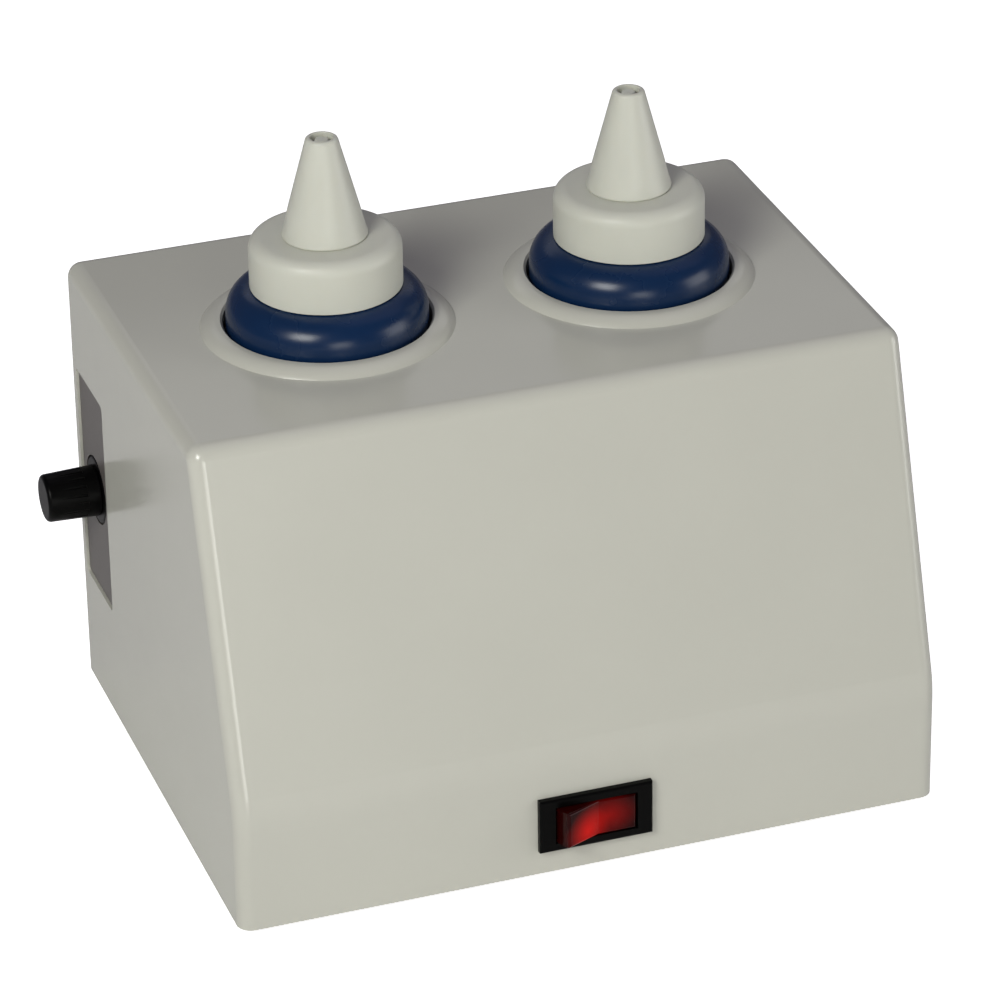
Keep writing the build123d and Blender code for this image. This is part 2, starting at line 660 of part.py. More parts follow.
def spout(x):
    """A cone that slides on the chimney: pulled up, it lets the post out of its tip."""
    h = SPOUT_HEIGHT
    tip_wall = SPOUT_TIP_RADIUS - MOUTH_RADIUS
    cone = lathe(
        Line((0, 0), (SPOUT_RING_RADIUS, 0)),
        Line((SPOUT_RING_RADIUS, 0), (SPOUT_RING_RADIUS, SPOUT_RING_HEIGHT)),
        Line((SPOUT_RING_RADIUS, SPOUT_RING_HEIGHT), (SPOUT_BASE_RADIUS, SPOUT_RING_HEIGHT)),
        Line((SPOUT_BASE_RADIUS, SPOUT_RING_HEIGHT), (SPOUT_TIP_RADIUS, h)),
        Line((SPOUT_TIP_RADIUS, h), (0, h)),
        Line((0, h), (0, 0)),
    )
    cone = fillet(rims_outside(cone, SPOUT_BASE_RADIUS + 0.5), 0.5)
    cone = fillet(cone.edges().group_by(Axis.Z)[-1], tip_wall * 0.4)
    seat = h - MOUTH_DEPTH - 2.6
    throat = POST_RADIUS + 2.2
    cone -= rod(SPOUT_BORE_RADIUS, -1, SPOUT_BORE_DEPTH)
    cone -= Pos(0, 0, SPOUT_BORE_DEPTH) * Cone(
        SPOUT_BORE_RADIUS - 0.8, throat - 1.4, seat - SPOUT_BORE_DEPTH, align=ON_BASE
    )
    cone -= rod(POST_RADIUS + PIN_CLEARANCE, seat - 1, h + 1)
    cone -= rod(MOUTH_RADIUS, h - MOUTH_DEPTH, h + 1)
    return Pos(x, WELL_Y, SPOUT_Z) * cone


# ---------------------------------------------------------------- rocker switch
def switch_body():
    """The bezel and the body behind it, with a pocket for the rocker and two catches behind the wall."""
    bezel = block(
        (-BEZEL_WIDTH / 2, BEZEL_WIDTH / 2),
        (-BEZEL_THICKNESS, 0),
        (-BEZEL_HEIGHT / 2, BEZEL_HEIGHT / 2),
    )
    bezel = fillet(bezel.faces().sort_by(Axis.Y)[0].edges(), 0.7)
    body = block(
        (-SWITCH_BODY_WIDTH / 2, SWITCH_BODY_WIDTH / 2),
        (-0.5, SWITCH_BODY_DEPTH),
        (-SWITCH_BODY_HEIGHT / 2, SWITCH_BODY_HEIGHT / 2),
    )
    body += bezel
    for way in (-1, 1):
        catch = make_face(
            Polyline(
                (way * SWITCH_BODY_WIDTH / 2, HOUSING_WALL),
                (way * (SWITCH_BODY_WIDTH / 2 + SWITCH_CATCH), HOUSING_WALL),
                (way * SWITCH_BODY_WIDTH / 2, HOUSING_WALL + SWITCH_CATCH_LENGTH),
                close=True,
            )
        )
        body += extrude(catch, amount=SWITCH_CATCH_HEIGHT / 2, both=True)
    pocket_half = ROCKER_REACH + 0.35
    pocket = block(
        (-pocket_half, pocket_half),
        (-BEZEL_THICKNESS - 1, SWITCH_POCKET_DEPTH),
        (-ROCKER_HEIGHT / 2 - 0.3, ROCKER_HEIGHT / 2 + 0.3),
    )
    body -= pocket
    pivot_y = ROCKER_PIVOT_DEPTH - BEZEL_THICKNESS
    body -= Pos(0, pivot_y, 0) * Cylinder(ROCKER_PIN_RADIUS + PIN_CLEARANCE, SWITCH_BODY_HEIGHT)
    body = Pos(0, FRONT_Y, SWITCH_CENTRE_Z) * body
    for tag in switch_tag_solids():
        body -= tag
    return body


def rocker():
    """A shallow V in plan, turned about its upright pins. At rest its right end is pressed: switched on."""
    rise, reach = ROCKER_RISE, ROCKER_REACH
    skirt = ROCKER_KEEL * 0.4
    low_half = math.sqrt(reach**2 - skirt**2)
    keel_half = ROCKER_HALF * 0.5

    def end(way):
        return ThreePointArc((way * ROCKER_HALF, -rise), (way * reach, 0), (way * low_half, skirt))

    outline = make_face(
        Curve()
        + [
            Line((0, -ROCKER_PIVOT_DEPTH), (ROCKER_HALF, -rise)),
            end(1),
            Line((low_half, skirt), (keel_half, ROCKER_KEEL)),
            Line((keel_half, ROCKER_KEEL), (-keel_half, ROCKER_KEEL)),
            Line((-keel_half, ROCKER_KEEL), (-low_half, skirt)),
            end(-1),
            Line((-ROCKER_HALF, -rise), (0, -ROCKER_PIVOT_DEPTH)),
        ]
    )
    body = extrude(outline, amount=ROCKER_HEIGHT / 2, both=True)
    front = [
        edge
        for edge in body.edges()
        if edge.center().Y < -ROCKER_PIVOT_DEPTH + 0.1 and abs(edge.center().X) > 0.1
    ]
    body = fillet(front, 0.7)
    body += Cylinder(ROCKER_PIN_RADIUS, SWITCH_BODY_HEIGHT - 0.4)
    return Pos(0, ROCKER_PIVOT_Y, SWITCH_CENTRE_Z) * Rot(0, 0, ROCKER_TILT_DEG) * body


def switch_tag_solids():
    low, high = FRONT_Y + SWITCH_POCKET_DEPTH, FRONT_Y + SWITCH_BODY_DEPTH + SWITCH_TAG_LENGTH
    half = SWITCH_TAG_WIDTH / 2
    z_range = (SWITCH_CENTRE_Z - half, SWITCH_CENTRE_Z + half)
    return [
        block((x - TAG_THICKNESS / 2, x + TAG_THICKNESS / 2), (low, high), z_range)
        for x in SWITCH_TAG_PLACES
    ]


def switch_tags():
    return gather(*switch_tag_solids())


def switch_lamp():
    """A small neon lamp that lies behind the rocker, with a bead of glass at each end."""
    lamp = Cylinder(LAMP_RADIUS, LAMP_LENGTH)
    lamp = fillet(lamp.edges(), LAMP_RADIUS * 0.8)
    y = FRONT_Y + SWITCH_POCKET_DEPTH - LAMP_RADIUS - 0.2
    return along_x(lamp, LAMP_X, y, SWITCH_CENTRE_Z)


# ---------------------------------------------------------------- side plate and fuse
def side_plate_screw_places():
    x = INNER_LEFT_X + SIDE_PLATE_FOOT - 5
    return [(x, FUSE_Y - 12.0), (x, FUSE_Y - 1.0)]


def window_panel():
    """The side plate's raised panel: it fills the window and leaves a round recess for the holder's flange."""
    panel = Box(PANEL_RISE, WINDOW_WIDTH - 2 * PANEL_GAP, WINDOW_HEIGHT - 2 * PANEL_GAP)
    panel = fillet(panel.edges().filter_by(Axis.X), WINDOW_CORNER_RADIUS)
    panel = fillet(panel.edges().group_by(Axis.X)[0], PANEL_EDGE_RADIUS)
    panel = Pos(INNER_LEFT_X - PANEL_RISE / 2, FUSE_Y, FUSE_Z) * panel
    return panel - fuse_rod(FUSE_FLANGE_RADIUS + PANEL_GAP, INNER_LEFT_X - 2 * PANEL_RISE, INNER_LEFT_X)


def side_plate():
    """An angle plate on the base plate: its upright leg closes the side window and holds the fuse."""
    low_y = FUSE_Y - WINDOW_WIDTH / 2 - SIDE_PLATE_MARGIN
    high_y = FUSE_Y + WINDOW_WIDTH / 2 + SIDE_PLATE_MARGIN / 2
    top = FUSE_Z + WINDOW_HEIGHT / 2 + SIDE_PLATE_MARGIN
    leg_x = (INNER_LEFT_X, INNER_LEFT_X + SIDE_PLATE_THICKNESS)
    leg = block(leg_x, (low_y, high_y), (BASE_TOP_Z + 1.2, top))
    foot = block(
        (INNER_LEFT_X + 1.0, INNER_LEFT_X + SIDE_PLATE_FOOT),
        (low_y, FUSE_Y + 3.5),
        (BASE_TOP_Z, BASE_TOP_Z + SIDE_PLATE_THICKNESS),
    )
    plate = leg + foot + window_panel()
    plate -= along_x(Cylinder(FUSE_BARREL_RADIUS, 20), INNER_LEFT_X, FUSE_Y, FUSE_Z)
    for x, y in side_plate_screw_places():
        plate -= rod(M3 + SCREW_GAP, BASE_TOP_Z - 1, BASE_TOP_Z + 3, x, y)
    return plate


def side_plate_screws():
    """Two screws through the plate's foot into threaded holes in the base plate."""
    length = BASE_THICKNESS + SIDE_PLATE_THICKNESS + FOOT_HEIGHT * 0.4
    top = BASE_TOP_Z + SIDE_PLATE_THICKNESS
    return gather(*(Pos(x, y, top) * screw(M3, length) for x, y in side_plate_screw_places()))


def fuse_turned(*lines):
    """A piece turned about the fuse's axis: its outline's first value is the radius, its second is x."""
    return Pos(0, FUSE_Y, FUSE_Z) * Rot(0, 90, 0) * lathe(*lines)


def fuse_rod(radius, low_x, high_x):
    return Pos(0, FUSE_Y, FUSE_Z) * Rot(0, 90, 0) * rod(radius, low_x, high_x)


def fuse_holder_body():
    flange = fuse_rod(FUSE_FLANGE_RADIUS, FUSE_FACE_X, INNER_LEFT_X)
    flange = fillet(flange.edges().group_by(Axis.X)[0], 0.8)
    body = flange + fuse_rod(FUSE_BARREL_RADIUS, INNER_LEFT_X, FUSE_BARREL_END_X)
    body -= fuse_rod(FUSE_BORE_RADIUS, FUSE_FACE_X - 1, FUSE_BARREL_END_X - FUSE_BARREL_END)
    for tag in fuse_tag_solids():
        body -= tag
    return body


def fuse_holder_nut():
    low = INNER_LEFT_X + SIDE_PLATE_THICKNESS
    nut = extrude(RegularPolygon(FUSE_NUT_RADIUS, 6), amount=FUSE_NUT_THICKNESS)
    nut -= rod(FUSE_BARREL_RADIUS, -1, FUSE_NUT_THICKNESS + 1)
    return along_x(nut, low, FUSE_Y, FUSE_Z)


def fuse_tag_solids():
    """The end contact with its tag, and the side contact that reaches the fuse through the barrel."""
    bore_end = FUSE_BARREL_END_X - FUSE_BARREL_END
    rivet_radius = 0.9
    end = fuse_rod(FUSE_CAP_RADIUS, bore_end - FUSE_CONTACT_THICKNESS, bore_end)
    end += fuse_rod(rivet_radius, bore_end - 0.5, FUSE_BARREL_END_X + 0.5)
    end += block(
        (FUSE_BARREL_END_X, FUSE_BARREL_END_X + FUSE_TAG_LENGTH),
        (FUSE_Y - FUSE_TAG_WIDTH / 2, FUSE_Y + FUSE_TAG_WIDTH / 2),
        (FUSE_Z - TAG_THICKNESS / 2, FUSE_Z + TAG_THICKNESS / 2),
    )
    side = block(
        (FUSE_SIDE_TAG_X, FUSE_SIDE_TAG_X + FUSE_TAG_WIDTH),
        (FUSE_Y - TAG_THICKNESS / 2, FUSE_Y + TAG_THICKNESS / 2),
        (FUSE_SIDE_TAG_Z, FUSE_Z - FUSE_BORE_RADIUS + 0.6),
    )
    return [end, side]


def fuse_tags():
    return gather(*fuse_tag_solids())


def fuse_spring():
    """The coil that presses the fuse forwards from the end contact."""
    high = FUSE_BARREL_END_X - FUSE_BARREL_END - FUSE_CONTACT_THICKNESS - SPRING_WIRE_RADIUS
    low = FUSE_REAR_X + SPRING_WIRE_RADIUS
    path = Helix(pitch=(high - low) / SPRING_TURNS, height=high - low, radius=SPRING_RADIUS)
    section = Plane(origin=path @ 0, z_dir=path % 0) * Circle(SPRING_WIRE_RADIUS)
    coil = sweep(section, path=path, is_frenet=True)
    return Pos(low, FUSE_Y, FUSE_Z) * Rot(0, 90, 0) * coil


def fuse_cap():
    """The knob, with a stub that holds the front of the fuse inside the holder."""
    tip = FUSE_KNOB_RADIUS - FUSE_KNOB_TAPER
    knob = fuse_turned(
        Line((0, FUSE_KNOB_X), (FUSE_KNOB_RADIUS, FUSE_KNOB_X)),
        Line((FUSE_KNOB_RADIUS, FUSE_KNOB_X), (tip, FUSE_END_X)),
        Line((tip, FUSE_END_X), (0, FUSE_END_X)),
        Line((0, FUSE_END_X), (0, FUSE_KNOB_X)),
    )
    knob = fillet(knob.edges().group_by(Axis.X)[0], 1.2)
    groove = fuse_rod(KNOB_GROOVE_RADIUS, FUSE_END_X - 1, FUSE_KNOB_X - KNOB_PLAIN_LENGTH)
    reach = FUSE_KNOB_RADIUS + 0.15
    for i in range(KNOB_GROOVES):
        turn = math.radians(360 / KNOB_GROOVES * i)
        knob -= Pos(0, reach * math.cos(turn), reach * math.sin(turn)) * groove
    knob += fuse_rod(FUSE_BORE_RADIUS - 0.3, FUSE_KNOB_X, FUSE_KNOB_X + FUSE_STUB_LENGTH)
    knob -= fuse_rod(FUSE_CAP_RADIUS + 0.05, FUSE_FRONT_X, FUSE_KNOB_X + FUSE_STUB_LENGTH + 1)
    return knob


def fuse_end_caps():
    caps = []
    for low in (FUSE_FRONT_X, FUSE_REAR_X - FUSE_CAP_LENGTH):
        caps.append(fuse_rod(FUSE_CAP_RADIUS, low, low + FUSE_CAP_LENGTH))
    glass = fuse_rod(FUSE_GLASS_RADIUS, *fuse_glass_ends())
    return gather(*(cap - glass for cap in caps))


def fuse_glass_ends():
    return FUSE_FRONT_X + FUSE_GLASS_INSET, FUSE_REAR_X - FUSE_GLASS_INSET


def fuse_glass():
    low, high = fuse_glass_ends()
    bore = fuse_rod(FUSE_GLASS_RADIUS - FUSE_GLASS_WALL, low, high)
    return fuse_rod(FUSE_GLASS_RADIUS, low, high) - bore


def fuse_element():
    """The thin link between the two end caps."""
    return fuse_rod(FUSE_ELEMENT_RADIUS, *fuse_glass_ends())


# ---------------------------------------------------------------- power inlet
def inlet_pin_places():
    half = INLET_PIN_SPACING / 2
    low = INLET_Z - INLET_EARTH_RISE / 2
    return [(-half, low), (half, low), (0.0, low + INLET_EARTH_RISE)]


def inlet_pin_solids():
    """Two line pins and the earth pin, each with its solder tag behind the body."""
    high = BACK_Y + INLET_FLANGE - INLET_PIN_RECESS
    half_x, half_z = INLET_PIN_THICKNESS / 2, INLET_PIN_HEIGHT / 2
    return [
        block((x - half_x, x + half_x), (inlet_tag_end(), high), (z - half_z, z + half_z))
        for x, z in inlet_pin_places()
    ]


def inlet_body():
    """The flange outside the back wall, and the socket through it with two bevelled corners."""
    back = BACK_Y + INLET_FLANGE
    flange = extrude(
        RectangleRounded(INLET_WIDTH, INLET_HEIGHT, INLET_HEIGHT * 0.3), amount=INLET_FLANGE
    )
    flange = fillet(flange.edges().group_by(Axis.Z)[-1], 0.8)
    body = along_y(flange, 0, BACK_Y, INLET_Z)
    body += block(
        (-INLET_BODY_WIDTH / 2, INLET_BODY_WIDTH / 2),
        (INNER_BACK_Y - INLET_BODY_DEPTH, BACK_Y + 0.5),
        (INLET_Z - INLET_BODY_HEIGHT / 2, INLET_Z + INLET_BODY_HEIGHT / 2),
    )
    half_w, half_h = INLET_MOUTH_WIDTH / 2, INLET_MOUTH_HEIGHT / 2
    bevel = INLET_MOUTH_BEVEL
    mouth = make_face(
        Polyline(
            (-half_w, -half_h),
            (half_w, -half_h),
            (half_w, half_h - bevel),
            (half_w - bevel, half_h),
            (-half_w + bevel, half_h),
            (-half_w, half_h - bevel),
            close=True,
        )
    )
    mouth = Pos(0, back + 1, INLET_Z) * Rot(90, 0, 0) * extrude(mouth, amount=INLET_MOUTH_DEPTH + 1)
    body -= mouth
    for pin in inlet_pin_solids():
        body -= pin
    for fastener in inlet_screws().solids():
        body -= fastener
    for x in (-INLET_SCREW_SPACING / 2, INLET_SCREW_SPACING / 2):
        head = Cone(M3, M3 * HEAD_RADIUS_SHARE, M3 * HEAD_HEIGHT_SHARE, align=ON_BASE)
        body -= along_y(Pos(0, 0, -M3 * HEAD_HEIGHT_SHARE) * head, x, back, INLET_Z)
    return body


def inlet_pins():
    return gather(*inlet_pin_solids())


def inlet_screws():
    length = INLET_FLANGE + HOUSING_WALL + 2 * M3
    back = BACK_Y + INLET_FLANGE
    return gather(
        *(
            along_y(screw(M3, length, countersunk=True), x, back, INLET_Z)
            for x in (-INLET_SCREW_SPACING / 2, INLET_SCREW_SPACING / 2)
        )
    )


def inlet_nuts():
    nut = hex_nut(M3, M3 * 1.6)
    return gather(
        *(
            along_y(nut, x, INNER_BACK_Y, INLET_Z, -1)
            for x in (-INLET_SCREW_SPACING / 2, INLET_SCREW_SPACING / 2)
        )
    )


# ---------------------------------------------------------------- terminal block and earth
def block_y():
    return INNER_BACK_Y - BLOCK_FROM_BACK


def earth_y():
    return INNER_BACK_Y - EARTH_FROM_BACK


def block_way_places():
    pitch = BLOCK_WIDTH / BLOCK_WAYS
    return [BLOCK_X + pitch * (i - (BLOCK_WAYS - 1) / 2) for i in range(BLOCK_WAYS)]


def block_screw_places():
    xs = block_way_places()
    return [((xs[0] + xs[1]) / 2, block_y()), ((xs[1] + xs[2]) / 2, block_y())]


def terminal_block():
    half_d = BLOCK_DEPTH / 2
    top = BASE_TOP_Z + BLOCK_HEIGHT
    body = block(
        (BLOCK_X - BLOCK_WIDTH / 2, BLOCK_X + BLOCK_WIDTH / 2),
        (block_y() - half_d, block_y() + half_d),
        (BASE_TOP_Z, top),
    )
    body = fillet(body.edges().filter_by(Axis.Z), 1.0)
    for x in block_way_places():
        body -= along_y(Cylinder(INSERT_RADIUS, BLOCK_DEPTH + 2), x, block_y(), BLOCK_WIRE_Z)
        for y in terminal_screw_rows():
            body -= rod(M3 + 0.4, BLOCK_WIRE_Z, top + 1, x, y)
    for x, y in block_screw_places():
        body -= rod(M3 + SCREW_GAP, BASE_TOP_Z - 1, top + 1, x, y)
        body -= rod(M3 * HEAD_RADIUS_SHARE - 0.35, top - 3, top + 1, x, y)
    return body


def terminal_screw_rows():
    return (block_y() - BLOCK_DEPTH * 0.25, block_y() + BLOCK_DEPTH * 0.25)


def terminal_inserts():
    """The brass barrels inside the block, with a hole for each end's wire and screw."""
    inserts = []
    for x in block_way_places():
        barrel = Cylinder(INSERT_RADIUS, BLOCK_DEPTH - 2) - Cylinder(INSERT_BORE, BLOCK_DEPTH)
        barrel = along_y(barrel, x, block_y(), BLOCK_WIRE_Z)
        for y in terminal_screw_rows():
            barrel -= rod(M3 * 0.8, BLOCK_WIRE_Z, BLOCK_WIRE_Z + 5, x, y)
        inserts.append(barrel)
    return gather(*inserts)


def terminal_screws():
    low = BLOCK_WIRE_Z + INSERT_BORE + 0.2
    high = BASE_TOP_Z + BLOCK_HEIGHT - 1.6
    grub = rod(M3 * 0.8, low, high)
    grub -= block((-2, 2), (-0.25, 0.25), (high - 0.8, high + 1))
    return gather(
        *(Pos(x, y, 0) * grub for x in block_way_places() for y in terminal_screw_rows())
    )


def block_screws():
    """Two slim screws through the block into threaded holes in the base plate."""
    top = BASE_TOP_Z + BLOCK_HEIGHT - 3
    slim = screw(M3, BLOCK_HEIGHT - 3 + BASE_THICKNESS - 0.3)
    keep = rod(M3 * HEAD_RADIUS_SHARE - 0.55, -20, 5)
    return gather(*(Pos(x, y, top) * (slim & keep) for x, y in block_screw_places()))


def earth_stud():
    return rod(M4, FOOT_HEIGHT + 0.2, BASE_TOP_Z + 11, EARTH_X, earth_y())


def earth_tag():
    """A ring tag on the stud, with its crimp towards the middle of the housing."""
    ring = rod(4.2, BASE_TOP_Z, BASE_TOP_Z + TAG_THICKNESS)
    ring += block((0, 8.0), (-1.6, 1.6), (BASE_TOP_Z, BASE_TOP_Z + TAG_THICKNESS))
    ring -= rod(M4, BASE_TOP_Z - 1, BASE_TOP_Z + 2)
    crimp = Pos(10.5, 0, BASE_TOP_Z + 1.7) * Rot(0, 90, 0) * Cylinder(1.7, 5.0)
    return Pos(EARTH_X, earth_y(), 0) * (ring + crimp)


def earth_nut():
    return Pos(EARTH_X, earth_y(), BASE_TOP_Z + TAG_THICKNESS) * hex_nut(M4, M4 * 1.6)


# ---------------------------------------------------------------- inner wires
def wire(*points, radius=WIRE_RADIUS):
    """A round wire along straight runs joined by tangent arcs as large as the runs allow."""
    corners = [Vector(*point) for point in points]
    radii = []
    for before, corner, after in zip(corners, corners[1:], corners[2:]):
        one, two = corner - before, after - corner
        half_turn = math.radians(one.get_angle(two)) / 2
        radii.append(0.45 * min(one.length, two.length) / math.tan(half_turn))
    path = FilletPolyline(*points, radius=radii)
    start = Plane(origin=points[0], z_dir=corners[1] - corners[0])
    return sweep(start * Circle(radius), path=path)


def inlet_tag_end():
    return INNER_BACK_Y - INLET_BODY_DEPTH - INLET_TAG_LENGTH


def wires_live():
    """Inlet to fuse, fuse to switch, and switch to the terminal block."""
    pin_x, pin_z = inlet_pin_places()[0]
    pin_y = inlet_tag_end()
    end_x = FUSE_BARREL_END_X + FUSE_TAG_LENGTH
    side_x = FUSE_SIDE_TAG_X + FUSE_TAG_WIDTH / 2
    side_z = FUSE_SIDE_TAG_Z
    tag_y = FRONT_Y + SWITCH_BODY_DEPTH + SWITCH_TAG_LENGTH
    way_x = block_way_places()[0]
    lane_x = -HALF_WIDTH + 11.5
    low_z = BASE_TOP_Z + 3.5
    inlet_to_fuse = wire(
        (pin_x, pin_y, pin_z),
        (pin_x, pin_y - 6, pin_z),
        (pin_x - 6, pin_y - 8, pin_z + 3),
        (pin_x - 14, pin_y - 2, pin_z + 10),
        (pin_x - 22, pin_y + 5, pin_z + 19),
        ((pin_x + end_x) / 2 - 4, FUSE_Y + 2, FUSE_Z - 9),
        (end_x + 17, FUSE_Y + 2, FUSE_Z - 3),
        (end_x + 8, FUSE_Y, FUSE_Z),
        (end_x, FUSE_Y, FUSE_Z),
    )
    fuse_to_switch = wire(
        (side_x, FUSE_Y, side_z),
        (side_x, FUSE_Y, side_z - 9),
        (lane_x + 2.5, FUSE_Y - 5, side_z - 19),
        (lane_x, FUSE_Y - 20, side_z - 31),
        (lane_x, FUSE_Y - 41, BASE_TOP_Z + 9),
        (lane_x + 2, FUSE_Y - 66, low_z + 1),
        (lane_x + 10, tag_y + 10, low_z),
        (lane_x + 26, tag_y + 2, low_z),
        (-42, tag_y + 6, low_z),
        (-26, tag_y + 12, low_z + 1),
        (-14, tag_y + 15, SWITCH_CENTRE_Z - 5),
        (SWITCH_TAG_PLACES[0], tag_y + 9, SWITCH_CENTRE_Z),
        (SWITCH_TAG_PLACES[0], tag_y, SWITCH_CENTRE_Z),
    )
    switch_to_block = wire(
        (SWITCH_TAG_PLACES[1], tag_y, SWITCH_CENTRE_Z),
        (SWITCH_TAG_PLACES[1], tag_y + 9, SWITCH_CENTRE_Z),
        (2.5, tag_y + 19, low_z + 3),
        (2.0, tag_y + 38, low_z),
        (1.0, WELL_Y + 6, low_z - 0.5),
        (6.0, block_y() - 23, low_z),
        (way_x - 7, block_y() - 14.5, BLOCK_WIRE_Z - 0.7),
        (way_x, block_y() - 9, BLOCK_WIRE_Z),
        (way_x, block_y() - 2, BLOCK_WIRE_Z),
    )
    return gather(inlet_to_fuse, fuse_to_switch, switch_to_block)


def wires_neutral():
    """Inlet to the terminal block, and the switch's lamp tag to the block."""
    pin_x, pin_z = inlet_pin_places()[1]
    pin_y = inlet_tag_end()
    tag_y = FRONT_Y + SWITCH_BODY_DEPTH + SWITCH_TAG_LENGTH
    _, middle_x, right_x = block_way_places()
    low_z = BASE_TOP_Z + 3.0
    inlet_to_block = wire(
        (pin_x, pin_y, pin_z),
        (pin_x, pin_y - 6, pin_z),
        (pin_x + 6, pin_y - 10, pin_z - 6),
        (pin_x + 15, pin_y - 11, pin_z - 14),
        (middle_x - 5, block_y() - 14.5, BLOCK_WIRE_Z + 3),
        (middle_x, block_y() - 9, BLOCK_WIRE_Z),
        (middle_x, block_y() - 2, BLOCK_WIRE_Z),
    )
    lamp_to_block = wire(
        (SWITCH_TAG_PLACES[2], tag_y, SWITCH_CENTRE_Z),
        (SWITCH_TAG_PLACES[2], tag_y + 9, SWITCH_CENTRE_Z),
        (12.0, tag_y + 19, low_z + 3),
        (9.0, tag_y + 38, low_z),
        (10.0, WELL_Y + 6, low_z),
        (18.0, block_y() - 24, low_z),
        (34.0, block_y() - 20, low_z),
        (right_x - 3, block_y() - 14, BLOCK_WIRE_Z - 1),
        (right_x, block_y() - 8, BLOCK_WIRE_Z),
        (right_x, block_y() - 2, BLOCK_WIRE_Z),
    )
    return gather(inlet_to_block, lamp_to_block)


def wire_earth():
    pin_x, pin_z = inlet_pin_places()[2]
    pin_y = inlet_tag_end()
    crimp = (EARTH_X + 13, earth_y(), BASE_TOP_Z + 1.7)
    return wire(
        (pin_x, pin_y, pin_z),
        (pin_x, pin_y - 5, pin_z),
        (pin_x - 2, pin_y - 9.5, pin_z - 6),
        (pin_x - 4, pin_y - 8, pin_z - 16),
        (pin_x - 7, pin_y - 1, pin_z - 24),
        (crimp[0] + 9, crimp[1], crimp[2]),
        crimp,
    )


def heater_leads():
    """From the lower edge of each heater band, beside its gap, to the back tag of the thermostat below."""
    middle = CUP_RADIUS + HEATER_THICKNESS / 2
    turn = math.radians(HEATER_GAP_DEG / 2 + 5)
    tag_y = WELL_Y + THERMOSTAT_TAG_REACH
    tag_z = thermostat_tag_z() - TAG_THICKNESS / 2
    leads = []
    for x in WELL_X.values():
        start_x, start_y = x + middle * math.sin(turn), WELL_Y + middle * math.cos(turn)
        leads.append(
            wire(
                (start_x, start_y, HEATER_LOW_Z),
                (start_x, start_y, HEATER_LOW_Z - 16),
                (x + 3, start_y - 5, tag_z + 1.5),
                (x, tag_y + 6, tag_z),
                (x, tag_y, tag_z),
                radius=HEATER_LEAD_RADIUS,
            )
        )
    return gather(*leads)


# ---------------------------------------------------------------- all pieces
def pieces():
    nodes = {
        "housing_cover": housing_cover(),
        "base_plate": base_plate(),
        "base_screws": base_screws(),
        "rubber_feet": rubber_feet(),
        "foot_screws": foot_screws(),
        "foot_nuts": foot_nuts(),
        "collar_screws": collar_screws(),
        "thermostat_tags": thermostat_tags(),
        "thermostat_screws": thermostat_screws(),
        "switch_body": switch_body(),
        "rocker": rocker(),
        "switch_tags": switch_tags(),
        "switch_lamp": switch_lamp(),
        "side_plate": side_plate(),
        "side_plate_screws": side_plate_screws(),
        "fuse_holder_body": fuse_holder_body(),
        "fuse_holder_nut": fuse_holder_nut(),
        "fuse_tags": fuse_tags(),
        "fuse_spring": fuse_spring(),
        "fuse_cap": fuse_cap(),
        "fuse_end_caps": fuse_end_caps(),
        "fuse_glass": fuse_glass(),
        "fuse_element": fuse_element(),
        "inlet_body": inlet_body(),
        "inlet_pins": inlet_pins(),
        "inlet_screws": inlet_screws(),
        "inlet_nuts": inlet_nuts(),
        "terminal_block": terminal_block(),
        "terminal_inserts": terminal_inserts(),
        "terminal_screws": terminal_screws(),
        "block_screws": block_screws(),
        "earth_stud": earth_stud(),
        "earth_tag": earth_tag(),
        "earth_nut": earth_nut(),
        "wires_live": wires_live(),
        "wires_neutral": wires_neutral(),
        "wire_earth": wire_earth(),
        "heater_leads": heater_leads(),
    }
    for side, x in WELL_X.items():
        nodes[f"well_collar_{side}"] = well_collar(x)
        nodes[f"well_cup_{side}"] = well_cup(x)
        nodes[f"heater_band_{side}"] = heater_band(x)
        nodes[f"insulation_sleeve_{side}"] = insulation_sleeve(x)
        nodes[f"thermostat_cap_{side}"] = thermostat_cap(x)
        nodes[f"thermostat_body_{side}"] = thermostat_body(x)
        nodes[f"bottle_{side}"] = bottle(x)
        nodes[f"cap_liner_{side}"] = cap_liner(x)
        nodes[f"screw_cap_{side}"] = screw_cap(x)
        nodes[f"spout_{side}"] = spout(x)
    return nodes


def main():
    os.makedirs("parts", exist_ok=True)
    for name, solid in pieces().items():
        export_step(Pos(*FOOTPRINT_SHIFT) * solid, f"parts/{name}.step")
    print("footprint shift", [round(v, 3) for v in FOOTPRINT_SHIFT])


if __name__ == "__main__":
    main()
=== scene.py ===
"""Looks of a two-well dry bottle warmer, built round its CAD frame.

The frame carries the shape of every part. This file gives each part its finish, models the bottles and their
spouts, and sets a plain studio round them.
"""

import math

import bpy
from mathutils import Matrix, Vector


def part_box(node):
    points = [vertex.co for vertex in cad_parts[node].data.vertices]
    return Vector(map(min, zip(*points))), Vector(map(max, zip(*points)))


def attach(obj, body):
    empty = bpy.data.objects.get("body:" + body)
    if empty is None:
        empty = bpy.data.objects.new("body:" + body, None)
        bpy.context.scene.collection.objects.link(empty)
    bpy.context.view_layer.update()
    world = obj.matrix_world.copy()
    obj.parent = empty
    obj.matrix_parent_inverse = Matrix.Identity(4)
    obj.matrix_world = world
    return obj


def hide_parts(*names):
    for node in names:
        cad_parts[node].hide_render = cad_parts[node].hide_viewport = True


bl_info = {
    "name": "Two-Well Bottle Warmer",
    "version": (1, 0, 0),
    "blender": (4, 5, 0),
    "location": "View3D > Sidebar > Warmer",
    "description": "Models and finishes a two-well dry bottle warmer round its CAD frame",
    "category": "Object",
}

MM = 0.001
SIDES = ("left", "right")

